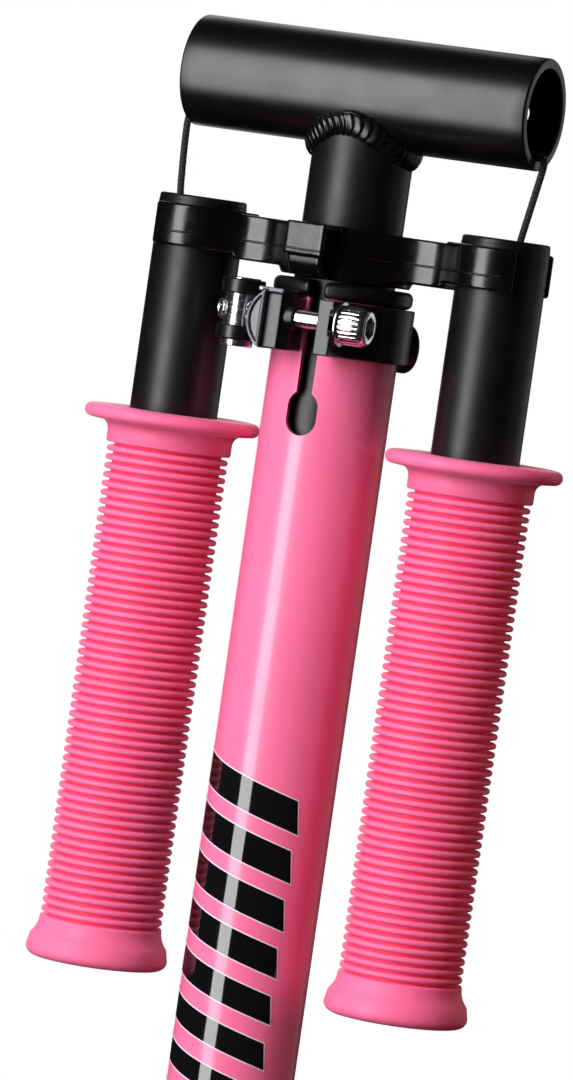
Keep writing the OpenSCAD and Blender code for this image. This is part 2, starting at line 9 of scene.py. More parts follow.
import bmesh
import bpy
import numpy as np
from mathutils import Matrix, Vector
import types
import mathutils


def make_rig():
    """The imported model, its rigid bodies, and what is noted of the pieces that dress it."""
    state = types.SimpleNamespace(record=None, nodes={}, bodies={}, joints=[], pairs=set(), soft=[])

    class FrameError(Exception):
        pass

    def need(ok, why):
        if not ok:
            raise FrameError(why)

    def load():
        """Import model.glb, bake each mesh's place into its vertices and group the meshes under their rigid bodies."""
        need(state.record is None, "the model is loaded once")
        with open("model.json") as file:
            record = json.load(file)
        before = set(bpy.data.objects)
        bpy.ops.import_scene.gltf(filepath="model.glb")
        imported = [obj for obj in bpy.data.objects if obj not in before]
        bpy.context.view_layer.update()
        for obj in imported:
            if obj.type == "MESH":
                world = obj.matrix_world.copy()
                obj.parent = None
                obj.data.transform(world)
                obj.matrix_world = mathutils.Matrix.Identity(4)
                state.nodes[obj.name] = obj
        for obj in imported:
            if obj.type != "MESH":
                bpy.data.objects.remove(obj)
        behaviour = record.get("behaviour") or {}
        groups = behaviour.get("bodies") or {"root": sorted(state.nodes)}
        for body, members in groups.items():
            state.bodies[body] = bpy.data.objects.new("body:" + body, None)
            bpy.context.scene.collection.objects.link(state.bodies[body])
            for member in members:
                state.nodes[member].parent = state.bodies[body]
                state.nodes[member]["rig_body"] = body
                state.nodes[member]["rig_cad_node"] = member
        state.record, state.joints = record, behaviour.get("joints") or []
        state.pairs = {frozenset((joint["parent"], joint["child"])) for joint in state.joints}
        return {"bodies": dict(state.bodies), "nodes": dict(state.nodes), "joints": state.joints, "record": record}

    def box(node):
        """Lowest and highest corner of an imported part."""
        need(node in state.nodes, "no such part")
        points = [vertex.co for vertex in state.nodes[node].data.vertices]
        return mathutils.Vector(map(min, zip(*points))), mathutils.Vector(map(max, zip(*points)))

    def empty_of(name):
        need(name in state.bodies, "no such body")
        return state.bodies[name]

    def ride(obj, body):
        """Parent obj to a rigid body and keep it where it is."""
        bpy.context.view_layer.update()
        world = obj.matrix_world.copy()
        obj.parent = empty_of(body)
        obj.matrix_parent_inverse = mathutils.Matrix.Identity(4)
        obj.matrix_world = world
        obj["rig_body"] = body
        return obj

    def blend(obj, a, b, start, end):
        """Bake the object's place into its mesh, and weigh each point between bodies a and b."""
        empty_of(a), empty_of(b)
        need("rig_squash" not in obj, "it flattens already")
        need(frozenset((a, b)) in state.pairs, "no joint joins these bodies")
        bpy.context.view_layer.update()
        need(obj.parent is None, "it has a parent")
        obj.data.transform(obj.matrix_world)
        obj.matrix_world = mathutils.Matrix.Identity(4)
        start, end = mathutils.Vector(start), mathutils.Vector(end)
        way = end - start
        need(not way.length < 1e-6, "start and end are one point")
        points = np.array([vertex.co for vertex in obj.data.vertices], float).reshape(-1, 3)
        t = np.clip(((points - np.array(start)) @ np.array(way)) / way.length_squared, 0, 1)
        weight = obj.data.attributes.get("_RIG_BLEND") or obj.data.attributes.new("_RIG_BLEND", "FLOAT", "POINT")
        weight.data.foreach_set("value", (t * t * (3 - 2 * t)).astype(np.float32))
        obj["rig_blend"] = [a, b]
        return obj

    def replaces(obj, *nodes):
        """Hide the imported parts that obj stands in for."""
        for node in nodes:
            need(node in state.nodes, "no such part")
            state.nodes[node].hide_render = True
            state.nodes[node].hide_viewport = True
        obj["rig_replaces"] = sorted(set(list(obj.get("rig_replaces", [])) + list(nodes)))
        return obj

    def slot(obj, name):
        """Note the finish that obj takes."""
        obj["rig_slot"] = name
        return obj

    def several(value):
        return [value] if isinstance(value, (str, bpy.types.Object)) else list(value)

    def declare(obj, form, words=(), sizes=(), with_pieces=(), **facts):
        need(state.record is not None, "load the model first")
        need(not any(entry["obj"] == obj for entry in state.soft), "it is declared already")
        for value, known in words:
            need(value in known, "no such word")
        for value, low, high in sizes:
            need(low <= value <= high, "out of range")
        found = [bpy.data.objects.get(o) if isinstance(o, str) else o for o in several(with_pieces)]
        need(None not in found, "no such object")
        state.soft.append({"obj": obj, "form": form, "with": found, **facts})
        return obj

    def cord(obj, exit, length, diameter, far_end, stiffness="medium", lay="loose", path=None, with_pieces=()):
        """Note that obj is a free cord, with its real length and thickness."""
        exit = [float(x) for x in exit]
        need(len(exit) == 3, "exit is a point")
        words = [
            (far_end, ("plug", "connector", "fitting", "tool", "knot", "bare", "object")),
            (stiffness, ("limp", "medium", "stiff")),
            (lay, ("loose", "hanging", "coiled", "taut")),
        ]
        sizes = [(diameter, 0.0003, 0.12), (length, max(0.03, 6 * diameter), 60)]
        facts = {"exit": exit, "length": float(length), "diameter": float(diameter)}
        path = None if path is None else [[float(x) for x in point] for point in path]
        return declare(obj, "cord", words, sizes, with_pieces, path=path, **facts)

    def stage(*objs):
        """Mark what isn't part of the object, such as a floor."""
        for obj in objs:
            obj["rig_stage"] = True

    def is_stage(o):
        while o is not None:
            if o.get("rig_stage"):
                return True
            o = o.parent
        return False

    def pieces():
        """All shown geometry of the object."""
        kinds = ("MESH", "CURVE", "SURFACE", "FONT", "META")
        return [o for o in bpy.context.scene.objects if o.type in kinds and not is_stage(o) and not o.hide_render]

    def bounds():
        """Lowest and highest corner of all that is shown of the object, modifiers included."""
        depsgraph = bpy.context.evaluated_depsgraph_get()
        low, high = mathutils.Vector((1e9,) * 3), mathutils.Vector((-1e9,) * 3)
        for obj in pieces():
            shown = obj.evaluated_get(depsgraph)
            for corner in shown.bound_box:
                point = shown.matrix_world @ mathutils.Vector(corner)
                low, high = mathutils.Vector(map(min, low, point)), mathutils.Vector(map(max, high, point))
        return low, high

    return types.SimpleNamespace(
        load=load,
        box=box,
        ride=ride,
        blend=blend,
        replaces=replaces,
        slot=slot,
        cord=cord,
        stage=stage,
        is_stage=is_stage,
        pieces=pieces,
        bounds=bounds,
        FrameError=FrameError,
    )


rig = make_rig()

bl_info = {
    "name": "Folding scooter handlebar",
    "version": (1, 0, 0),
    "blender": (4, 5, 0),
    "location": "3D View > Sidebar > Handlebar",
    "description": "Makes the looks of a folding scooter handlebar around its packed frame",
    "category": "Object",
}

MM = 0.001
SIZE_FILE = "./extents.json"
HANDS = (("left", -1), ("right", 1))

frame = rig.load()
CAD_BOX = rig.bounds()


def corners(node):
    """Lowest and highest corner of a CAD node, in millimetres."""
    low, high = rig.box(node)
    return low / MM, high / MM


# ---- Places and sizes read from the frame, in millimetres ----

COLUMN_R = corners("column_tube")[1].x
COLUMN_TOP = corners("column_tube")[1].z
STEM_R = corners("stem_tube")[1].x
TEE_LOW, TEE_HIGH = corners("tee_bar")
TEE_Z = (TEE_LOW.z + TEE_HIGH.z) / 2
TEE_R = (TEE_HIGH.z - TEE_LOW.z) / 2
TEE_HALF = TEE_HIGH.x
TUBE_LOW, TUBE_HIGH = corners("right_handle_tube")
HANDLE_X = (TUBE_LOW.x + TUBE_HIGH.x) / 2
HANDLE_R = (TUBE_HIGH.x - TUBE_LOW.x) / 2
MOUTH_Z = corners("right_mouth_bush")[1].z
BUTTON_Z = sum(c.z for c in corners("right_button")) / 2
HUB_LOW, HUB_HIGH = corners("handle_holder")
HUB_R = HUB_HIGH.y
CLIP_HIGH = corners("right_clip_jaws")[1]
CLIP_R = CLIP_HIGH.y
GRIP_LOW, GRIP_HIGH = corners("right_grip")
FLANGE_LOW, FLANGE_HIGH = corners("right_grip_flange")
COLLAR_LOW, COLLAR_HIGH = corners("clamp_collar")
BOLT_LOW, BOLT_HIGH = corners("clamp_bolt")
BOLT_Y = (BOLT_LOW.y + BOLT_HIGH.y) / 2
BOLT_Z = (BOLT_LOW.z + BOLT_HIGH.z) / 2
WASHER_LOW, WASHER_HIGH = corners("bolt_washer")
SADDLE_LOW, SADDLE_HIGH = corners("saddle_washer")
BARREL_LOW, BARREL_HIGH = corners("barrel_nut")
BARREL_X = (BARREL_LOW.x + BARREL_HIGH.x) / 2
BARREL_R = (BARREL_HIGH.x - BARREL_LOW.x) / 2
BUSH_LOW, BUSH_HIGH = corners("guide_bush")
LEVER_LOW, LEVER_HIGH = corners("clamp_lever")
FOOT_LOW, FOOT_HIGH = corners("steerer_clamp")
FOOT_BOLT_LOW, FOOT_BOLT_HIGH = corners("steerer_clamp_bolts")


# ---- Sizes and colours that a user may change ----

def length(name, description, millimetres):
    """A length property in metres, given in millimetres."""
    return bpy.props.FloatProperty(
        name=name, description=description, default=millimetres * MM, min=0.0,
        precision=5, unit="LENGTH", subtype="DISTANCE")


def angle(name, description, degrees):
    """An angle property in radians, given in degrees."""
    return bpy.props.FloatProperty(
        name=name, description=description, default=math.radians(degrees),
        unit="ROTATION", subtype="ANGLE")


def colour(name, description, value):
    """A linear colour property."""
    return bpy.props.FloatVectorProperty(
        name=name, description=description, default=value, size=3, min=0.0, max=1.0,
        subtype="COLOR")


def amount(name, description, value):
    """A plain number."""
    return bpy.props.FloatProperty(name=name, description=description, default=value, min=0.0)


class GripSizes(bpy.types.PropertyGroup):
    """Sizes of the ribbed grips."""
    rib_pitch: length("Rib pitch", "Distance from one rib to the next", 2.25)
    rib_width: length("Rib width", "Thickness of a rib", 1.35)
    rib_depth: length("Rib depth", "Depth of the grooves between the ribs", 1.75)
    neck: length("Neck", "Smooth length from the flange's top to the first groove", 9.2)
    flange_edge: length("Flange edge", "Thickness of the flange at its rim", 3.5)
    flare_height: length("Flare", "Height of the flared foot", 10.3)
    moulding_line: angle("Moulding line", "Where the moulding line runs, round from the front", 76)


class MetalSizes(bpy.types.PropertyGroup):
    """Sizes of the metal pieces' details."""
    tee_rim: length("Tee rim", "Rounding of the tee's open ends", 0.55)
    bead: length("Weld bead", "Radius of the weld bead", 2.75)
    ripple: length("Weld ripple", "Distance from one weld ripple to the next", 1.9)
    knurls: bpy.props.IntProperty(
        name="Knurls", description="Ridges round the bolt's head", default=26, min=8, max=60)
    thread: length("Thread", "Pitch of the bolt's thread", 1.0)


class MouldingSizes(bpy.types.PropertyGroup):
    """Sizes of the plastic mouldings' details."""
    arm_fillet: length("Arm fillet", "How softly the holder's arms run into its rings", 6.5)
    edge: length("Edge", "Rounding of the holder's edges", 0.75)
    jaw_front: angle("Front jaw", "Where a clip's front jaw ends, from straight out", 55)
    jaw_rear: angle("Rear jaw", "Where a clip's rear jaw ends, from straight out", 44)
    block_turn: angle("Block turn", "How far the hub's block sits round from the front", -6)


class CordSizes(bpy.types.PropertyGroup):
    """Sizes of the elastic cord."""
    diameter: length("Diameter", "Diameter of the elastic cord", 1.9)
    braid: length("Braid", "Length in which a strand of the braid goes once round", 4.6)


class DecalSizes(bpy.types.PropertyGroup):
    """Sizes of the striped film on the column."""
    top: length("Top", "Height of the film's upper end at the middle of its width", 306)
    slope: amount("Slope", "How steeply the stripes run down to the right", 0.30)
    outline: length("Outline", "Width of the light outline", 0.35)


class Colours(bpy.types.PropertyGroup):
    """Colours of the object."""
    pink_paint: colour("Pink paint", "Gloss paint of the column", (0.90, 0.160, 0.33))
    pink_rubber: colour("Pink rubber", "Rubber of the grips", (0.92, 0.15, 0.32))
    # The colour below is painted shade for the rubber down in the grooves.
    painted_groove_shade: colour("Painted groove shade", "Rubber down in the grooves", (0.88, 0.060, 0.19))
    black_paint: colour("Black paint", "Paint of the tubes", (0.0016, 0.0016, 0.0022))
    black_plastic: colour("Black plastic", "Plastic of the holder", (0.0018, 0.0018, 0.0022))
    steel: colour("Steel", "Plated steel", (0.78, 0.79, 0.80))
    saddle: colour("Saddle", "Grey plastic of the saddle washer", (0.040, 0.045, 0.066))


class Studio(bpy.types.PropertyGroup):
    """The camera and the lights."""
    camera_x: length("Camera right", "Camera to the right of the tee's middle", 629.12)
    camera_y: length("Camera front", "Camera in front of the tee's middle", 1508.46)
    camera_drop: length("Camera drop", "Camera below the tee's middle", 39.38)
    yaw: angle("Yaw", "Camera's turn to the left", 22.823)
    pitch: angle("Pitch", "Camera's tilt above level", -2.590)
    roll: angle("Roll", "Camera's roll to the right", 8.161)
    lens: bpy.props.FloatProperty(
        name="Lens", description="Focal length on a 36 mm tall frame", default=218.7,
        unit="CAMERA")
    key: amount("Key light", "Brightness of the tall soft light on the left", 7.0)
    front: amount("Front light", "Brightness of the wide light over the camera", 3.9)
    side: amount("Side light", "Brightness of the light on the far left", 2.0)
    bounce: amount("Bounce", "Brightness of the pink card on the right", 0.9)
    backdrop: amount("Backdrop", "Brightness of the white wall behind", 1.0)
    ambient: amount("Ambient", "Brightness of the room", 0.012)
    floor_light: amount("Floor light", "Brightness of the light on the floor", 1.1)


class Handlebar(bpy.types.PropertyGroup):
    """Everything that a user may change."""
    grip: bpy.props.PointerProperty(type=GripSizes, name="Grips", description="Grip sizes")
    metal: bpy.props.PointerProperty(type=MetalSizes, name="Metal", description="Metal sizes")
    moulding: bpy.props.PointerProperty(
        type=MouldingSizes, name="Mouldings", description="Moulding sizes")
    cord: bpy.props.PointerProperty(type=CordSizes, name="Cord", description="Cord sizes")
    decal: bpy.props.PointerProperty(type=DecalSizes, name="Film", description="Film sizes")
    colours: bpy.props.PointerProperty(type=Colours, name="Colours", description="Colours")
    studio: bpy.props.PointerProperty(type=Studio, name="Studio", description="Camera and lights")


def settings():
    """The user's sizes and colours."""
    return bpy.context.scene.handlebar


def mm(value):
    """A property's metres in millimetres."""
    return value / MM


# ---- Meshes ----

def add_object(name, vertices, faces, material, smooth_angle=None):
    """A mesh object from points in millimetres, with outward faces."""
    mesh = bpy.data.meshes.new(name)
    mesh.from_pydata([tuple(float(c) * MM for c in v) for v in vertices], [], faces)
    mesh.validate()
    piece = bpy.data.objects.new(name, mesh)
    bpy.context.scene.collection.objects.link(piece)
    for one in material if isinstance(material, (list, tuple)) else [material]:
        mesh.materials.append(one)
    mesh.shade_smooth()
    if smooth_angle is not None:
        mesh.set_sharp_from_angle(angle=math.radians(smooth_angle))
    return piece


def settle(piece, body, slot, *nodes):
    """The piece rides on its body and stands for its CAD nodes."""
    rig.ride(piece, body)
    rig.slot(piece, slot)
    if slot.startswith("pink"):
        pink_pieces().objects.link(piece)
    if nodes:
        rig.replaces(piece, *nodes)
    return piece


def rounded(points, steps=4):
    """An outline from (across, up, rounding) corners, each rounding an arc."""
    outline = []
    count = len(points)
    for i, (x, y, r) in enumerate(points):
        here = Vector((x, y))
        if r <= 0:
            outline.append((x, y))
            continue
        before = (Vector(points[i - 1][:2]) - here).normalized()
        after = (Vector(points[(i + 1) % count][:2]) - here).normalized()
        half = before.angle(after) / 2
        middle = here + (before + after).normalized() * (r / math.sin(half))
        start = here + before * (r / math.tan(half)) - middle
        end = here + after * (r / math.tan(half)) - middle
        turn = start.angle_signed(end)
        for k in range(steps + 1):
            spin = -turn * k / steps
            outline.append((middle.x + start.x * math.cos(spin) - start.y * math.sin(spin),
                            middle.y + start.x * math.sin(spin) + start.y * math.cos(spin)))
    return outline


def lathe(outline, angles):
    """Points and faces of a closed outline of (radius, height) turned round Z."""
    turns, count = len(angles), len(outline)
    vertices = [(r * math.cos(a), r * math.sin(a), z) for a in angles for r, z in outline]
    faces = [(i * count + k, ((i + 1) % turns) * count + k,
              ((i + 1) % turns) * count + (k + 1) % count, i * count + (k + 1) % count)
             for i in range(turns) for k in range(count)]
    return vertices, faces


def spindle(outline, angles):
    """A solid turned round Z, its outline's first and last points on the axis."""
    turns, inner = len(angles), outline[1:-1]
    count = len(inner)
    vertices = [(r * math.cos(a), r * math.sin(a), z) for a in angles for r, z in inner]
    faces = [(i * count + k, ((i + 1) % turns) * count + k,
              ((i + 1) % turns) * count + k + 1, i * count + k + 1)
             for i in range(turns) for k in range(count - 1)]
    low, high = len(vertices), len(vertices) + 1
    vertices += [(0, 0, outline[0][1]), (0, 0, outline[-1][1])]
    faces += [(low, ((i + 1) % turns) * count, i * count) for i in range(turns)]
    faces += [(high, i * count + count - 1, ((i + 1) % turns) * count + count - 1)
              for i in range(turns)]
    return vertices, faces


def full_turn(count):
    """Evenly spaced angles once round."""
    return [2 * math.pi * k / count for k in range(count)]


def moved(vertices, offset=(0, 0, 0), turn=None):
    """Points turned by a matrix and then shifted."""
    shift = Vector(offset)
    return [(turn @ Vector(v) if turn else Vector(v)) + shift for v in vertices]


def face_outward(piece):
    """Points every face of a piece outward."""
    form = bmesh.new()
    form.from_mesh(piece.data)
    bmesh.ops.recalc_face_normals(form, faces=form.faces)
    form.to_mesh(piece.data)
    form.free()


def cut_out(piece, cutter):
    """Cuts one object out of another and removes the cutter."""
    modifier = piece.modifiers.new("cut", "BOOLEAN")
    modifier.operation, modifier.solver, modifier.object = "DIFFERENCE", "EXACT", cutter
    shaped = bpy.data.meshes.new_from_object(
        piece.evaluated_get(bpy.context.evaluated_depsgraph_get()))
    piece.modifiers.clear()
    old = piece.data
    piece.data = shaped
    bpy.data.meshes.remove(old)
    bpy.data.objects.remove(cutter)


# ---- Solids as fields of distance, in millimetres, below zero inside ----

def rod(x, y, radius):
    """Distance to an endless round rod, seen along it."""
    return np.hypot(x, y) - radius


def brick(x, y, half_x, half_y, edge=0.0):
    """Distance to a rectangle, its corners rounded."""
    a, b = np.abs(x) - half_x + edge, np.abs(y) - half_y + edge
    return np.hypot(np.maximum(a, 0), np.maximum(b, 0)) + np.minimum(np.maximum(a, b), 0) - edge


def slab(plan, height, low, high, edge):
    """A plan's distance made solid between two heights, its edges rounded."""
    a = plan + edge
    b = np.abs(height - (low + high) / 2) - (high - low) / 2 + edge
    return np.hypot(np.maximum(a, 0), np.maximum(b, 0)) + np.minimum(np.maximum(a, b), 0) - edge


def join(a, b, fillet=0.0):
    """Two fields as one, with a fillet where they meet."""
    if fillet <= 0:
        return np.minimum(a, b)
    share = np.clip(0.5 + 0.5 * (b - a) / fillet, 0, 1)
    return b * (1 - share) + a * share - fillet * share * (1 - share)


def keep(a, b, edge=0.0):
    """What two fields share, with a rounded edge where they meet."""
    return -join(-a, -b, edge)


def cut(a, b, edge=0.0):
    """The first field without the second, with a rounded edge."""
    return keep(a, -b, edge)


def ramp(value, low, high):
    """A smooth step from 0 to 1."""
    t = np.clip((value - low) / (high - low), 0, 1)
    return t * t * (3 - 2 * t)


def sector(x, y, start, end):
    """Distance to a wedge under half a turn, from one angle to another, in radians."""
    return np.maximum(x * math.sin(start) - y * math.cos(start),
                      y * math.cos(end) - x * math.sin(end))


def cell_points(value):
    """Index of each cell that the surface crosses, and its point in cells from the corner."""
    shape = tuple(n - 1 for n in value.shape)
    total = np.zeros(shape + (3,))
    hits = np.zeros(shape)
    for axis in range(3):
        others = [i for i in range(3) if i != axis]
        for first in (0, 1):
            for second in (0, 1):
                low = [0, 0, 0]
                low[others[0]], low[others[1]] = first, second
                high = list(low)
                high[axis] = 1
                a, b = (value[tuple(slice(o, o + n) for o, n in zip(c, shape))]
                        for c in (low, high))
                crossed = (a < 0) != (b < 0)
                share = np.where(crossed, a / np.where(crossed, a - b, 1), 0)
                point = np.array(low, float) + share[..., None] * np.eye(3)[axis]
                total += np.where(crossed[..., None], point, 0)
                hits += crossed
    active = hits > 0
    index = np.full(shape, -1)
    index[active] = np.arange(active.sum())
    points = np.argwhere(active) + total[active] / hits[active][:, None]
    return index, points


def cell_faces(value, index):
    """A face round each grid edge that the surface crosses."""
    inside = value < 0
    faces = []
    for axis in range(3):
        first, second = (axis + 1) % 3, (axis + 2) % 3
        near, far = [slice(1, -1)] * 3, [slice(1, -1)] * 3
        near[axis], far[axis] = slice(0, -1), slice(1, None)
        a, b = inside[tuple(near)], inside[tuple(far)]
        for leaving in (True, False):
            places = np.argwhere((a != b) & (a == leaving))
            corner = places.copy()
            corner[:, first] += 1
            corner[:, second] += 1
            ring = []
            for back_first, back_second in ((1, 1), (0, 1), (0, 0), (1, 0)):
                cell = corner.copy()
                cell[:, first] -= back_first
                cell[:, second] -= back_second
                ring.append(index[tuple(cell.T)])
            ring = np.stack(ring if leaving else ring[::-1], 1)
            faces.append(ring[(ring >= 0).all(1)])
    return np.concatenate(faces)


def skin(field, low, high, step):
    """Points and faces of the surface where a field crosses zero."""
    counts = [int(math.ceil((b - a) / step)) + 1 for a, b in zip(low, high)]
    axes = [a + step * np.arange(n) for a, n in zip(low, counts)]
    value = field(*np.meshgrid(*axes, indexing="ij"))
    index, points = cell_points(value)
    faces = cell_faces(value, index)
    points = points * step + np.array(low)
    probe = 0.02
    for _ in range(3):
        here = field(*points.T)
        slope = np.stack([(field(*(points + probe * side).T) - field(*(points - probe * side).T))
                          / (2 * probe) for side in np.eye(3)], 1)
        move = -here[:, None] * slope / np.maximum((slope ** 2).sum(1), 0.2)[:, None]
        points = points + np.clip(move, -0.4 * step, 0.4 * step)
    return points, faces.tolist()


def sculpt(name, field, low, high, step, material):
    """An object from a field of distances."""
    points, faces = skin(field, low, high, step)
    return add_object(name, points, faces, material)


# ---- Materials ----

class Finish:
    """A Principled material that is built up a step at a time."""

    def __init__(self, name, base, rough, **uniform):
        self.material = bpy.data.materials.new(name)
        self.material.use_nodes = True
        self.material.diffuse_color = (*base, 1)
        self.nodes = self.material.node_tree.nodes
        self.links = self.material.node_tree.links
        self.shader = self.nodes["Principled BSDF"]
        self.shader.inputs["Roughness"].default_value = rough
        self.shader.inputs["Base Color"].default_value = (*base, 1)
        for socket, value in uniform.items():
            self.shader.inputs[socket.replace("_", " ")].default_value = value
        self.place = self.node("ShaderNodeTexCoord").outputs["Object"]
        self.height = None
        self.base = self.rgb(base)

    def node(self, kind, **values):
        """A new node, its inputs set by name."""
        made = self.nodes.new(kind)
        for key, value in values.items():
            if key in ("operation", "data_type", "attribute_name"):
                setattr(made, key, value)
            else:
                made.inputs[key.replace("_", " ")].default_value = value
        return made

    def rgb(self, value):
        """A colour as a node's output."""
        made = self.node("ShaderNodeRGB")
        made.outputs[0].default_value = (*value, 1)
        return made.outputs[0]

    def noise(self, scale, detail=3.0, stretch=(1, 1, 1)):
        """Noise at a scale given in millimetres, drawn out along an axis."""
        mapping = self.node("ShaderNodeMapping")
        mapping.inputs["Scale"].default_value = [1 / (scale * MM * s) for s in stretch]
        self.links.new(self.place, mapping.inputs["Vector"])
        made = self.node("ShaderNodeTexNoise", Scale=1.0, Detail=detail)
        self.links.new(mapping.outputs[0], made.inputs["Vector"])
        return made.outputs["Fac"]

    def math(self, operation, first, second=None):
        """Arithmetic on outputs or numbers."""
        made = self.node("ShaderNodeMath", operation=operation)
        for socket, value in zip(made.inputs, (first, second)):
            if isinstance(value, (int, float)):
                socket.default_value = value
            elif value is not None:
                self.links.new(value, socket)
        return made.outputs[0]

    def remap(self, value, low, high, new_low=0.0, new_high=1.0):
        """A value stretched from one range to another and held there."""
        made = self.node("ShaderNodeMapRange")
        self.links.new(value, made.inputs["Value"])
        for socket, number in zip(("From Min", "From Max", "To Min", "To Max"),
                                  (low, high, new_low, new_high)):
            made.inputs[socket].default_value = number
        return made.outputs[0]

    def tint(self, tone, share):
        """Mixes a colour into the base by a share."""
        made = self.node("ShaderNodeMix", data_type="RGBA")
        self.links.new(share, made.inputs["Factor"])
        self.links.new(self.base, made.inputs["A"])
        made.inputs["B"].default_value = (*tone, 1)
        self.base = [o for o in made.outputs if o.type == "RGBA"][0]

    def mottle(self, scale, spread):
        """Slow variation of the base colour, darker and lighter."""
        hue = self.node("ShaderNodeHueSaturation")
        self.links.new(self.base, hue.inputs["Color"])
        self.links.new(self.remap(self.noise(scale), 0.3, 0.7, 1 - spread, 1 + spread),
                       hue.inputs["Value"])
        self.base = hue.outputs[0]

    def rough(self, scale, low, high):
        """Roughness that varies between two values."""
        self.links.new(self.remap(self.noise(scale, 4.0), 0.3, 0.7, low, high),
                       self.shader.inputs["Roughness"])

    def relief(self, height, depth):
        """Adds a height in millimetres to the bump."""
        scaled = self.math("MULTIPLY", height, depth)
        self.height = scaled if self.height is None else self.math("ADD", self.height, scaled)

    def done(self):
        """Links the colour and the relief, and returns the material."""
        self.links.new(self.base, self.shader.inputs["Base Color"])
        if self.height is not None:
            bump = self.node("ShaderNodeBump", Strength=1.0, Distance=MM)
            self.links.new(self.height, bump.inputs["Height"])
            self.links.new(bump.outputs[0], self.shader.inputs["Normal"])
        return self.material

    def scuffs(self, tone):
        """Small pale rub marks, few and short."""
        marks = self.remap(self.noise(0.9, 4.0, (1, 1, 2.5)), 0.70, 0.76)
        patches = self.remap(self.noise(14, 2.0), 0.55, 0.68)
        self.tint((tone, tone, tone), self.math("MULTIPLY", marks, patches))

    def edges(self, low, high):
        """Share of sharp edge, from how sharply the surface turns, for painted edge highlights and painted shade in
        hollows.
        """
        pointed = self.node("ShaderNodeNewGeometry").outputs["Pointiness"]
        return self.remap(pointed, low, high)


FINISHES = {}


def finish_named(name):
    """The material of that name, made once."""
    if name not in FINISHES:
        FINISHES[name] = MAKERS[name]()
    return FINISHES[name]


def pink_paint():
    """Gloss pink paint with a clear coat and a faint orange peel."""
    made = Finish("pink_paint", settings().colours.pink_paint, 0.36, Specular_IOR_Level=0.6,
                  Coat_Weight=0.5, Coat_Roughness=0.13, Coat_IOR=1.5)
    made.mottle(30, 0.03)
    made.rough(12, 0.30, 0.38)
    made.relief(made.noise(2.2, 2.0), 0.012)
    return made.done()


def black_paint():
    """Satin black powder paint."""
    made = Finish("black_paint", settings().colours.black_paint, 0.42, Specular_IOR_Level=0.58)
    made.mottle(18, 0.15)
    made.rough(6, 0.39, 0.45)
    made.scuffs(0.10)
    made.relief(made.noise(0.7, 2.0), 0.004)
    return made.done()


def tee_paint():
    """The same paint, a little glossier."""
    made = Finish("tee_paint", settings().colours.black_paint, 0.34, Specular_IOR_Level=0.68)
    made.mottle(18, 0.15)
    made.rough(9, 0.32, 0.37)
    made.scuffs(0.06)
    made.relief(made.noise(0.7, 2.0), 0.003)
    return made.done()


def weld_paint():
    """The same paint over the weld's fine scale."""
    made = Finish("weld_paint", settings().colours.black_paint, 0.3, Specular_IOR_Level=0.7)
    made.mottle(3, 0.2)
    made.rough(2, 0.22, 0.36)
    made.relief(made.noise(0.5, 3.0), 0.02)
    return made.done()


def black_moulding():
    """Glossy moulded plastic with a moulding line at mid-height."""
    made = Finish("black_moulding", settings().colours.black_plastic, 0.2,
                  Specular_IOR_Level=0.62)
    made.mottle(12, 0.15)
    made.rough(5, 0.16, 0.27)
    made.relief(made.noise(6, 3.0), 0.05)
    height = made.node("ShaderNodeSeparateXYZ")
    made.links.new(made.place, height.inputs[0])
    wander = made.remap(made.noise(9, 2.0), 0.3, 0.7, -0.12, 0.12)
    line = (HUB_LOW.z + 6.4) * MM
    away = made.math("ABSOLUTE", made.math(
        "ADD", made.math("MULTIPLY", made.math("SUBTRACT", height.outputs[2], line), 1000), wander))
    made.relief(made.remap(away, 0.05, 0.28, 1, 0), 0.13)
    return made.done()


def black_nylon():
    """Matt black nylon."""
    made = Finish("black_nylon", (0.003, 0.003, 0.0035), 0.4, Specular_IOR_Level=0.5)
    made.mottle(8, 0.2)
    made.rough(3, 0.34, 0.46)
    made.relief(made.noise(0.6, 3.0), 0.01)
    return made.done()


def black_anodised():
    """Fine blasted black anodising, with a painted highlight on its sharpest edges."""
    made = Finish("black_anodised", (0.0025, 0.0025, 0.003), 0.36, Specular_IOR_Level=0.6)
    made.mottle(5, 0.2)
    made.rough(1.2, 0.32, 0.42)
    # A grey tint on the sharpest edges: painted highlight.
    made.tint((0.20, 0.20, 0.21), made.edges(0.56, 0.66))
    made.relief(made.noise(0.25, 2.0), 0.006)
    return made.done()


def painted_lit_face():
    """A satin grey copy of the collar's black for the ears' faces turned to the front and up, its lighter grey painted
    light.
    """
    made = Finish("painted_lit_face", (0.05, 0.05, 0.052), 0.42, Specular_IOR_Level=0.8)
    made.mottle(0.5, 0.12)
    made.rough(0.4, 0.36, 0.5)
    made.relief(made.noise(0.22, 3.0, (1, 1, 3)), 0.01)
    return made.done()


def black_lever():
    """Black coated casting."""
    made = Finish("black_lever", (0.0025, 0.0025, 0.003), 0.3, Specular_IOR_Level=0.6)
    made.mottle(6, 0.2)
    made.rough(2, 0.26, 0.36)
    # A grey tint on the sharpest edges: painted highlight.
    made.tint((0.12, 0.12, 0.125), made.edges(0.58, 0.70))
    made.relief(made.noise(0.5, 3.0), 0.012)
    return made.done()


def bright_steel():
    """Zinc plated steel with a fine grain."""
    made = Finish("bright_steel", settings().colours.steel, 0.2, Metallic=1.0)
    made.mottle(1.5, 0.08)
    made.rough(0.8, 0.14, 0.30)
    # A darker grey down in the hollows of the knurls and the socket: painted shade.
    made.tint((0.30, 0.30, 0.31), made.remap(made.edges(0.40, 0.47), 0, 1, 0.8, 0))
    made.relief(made.noise(0.3, 2.0), 0.004)
    return made.done()


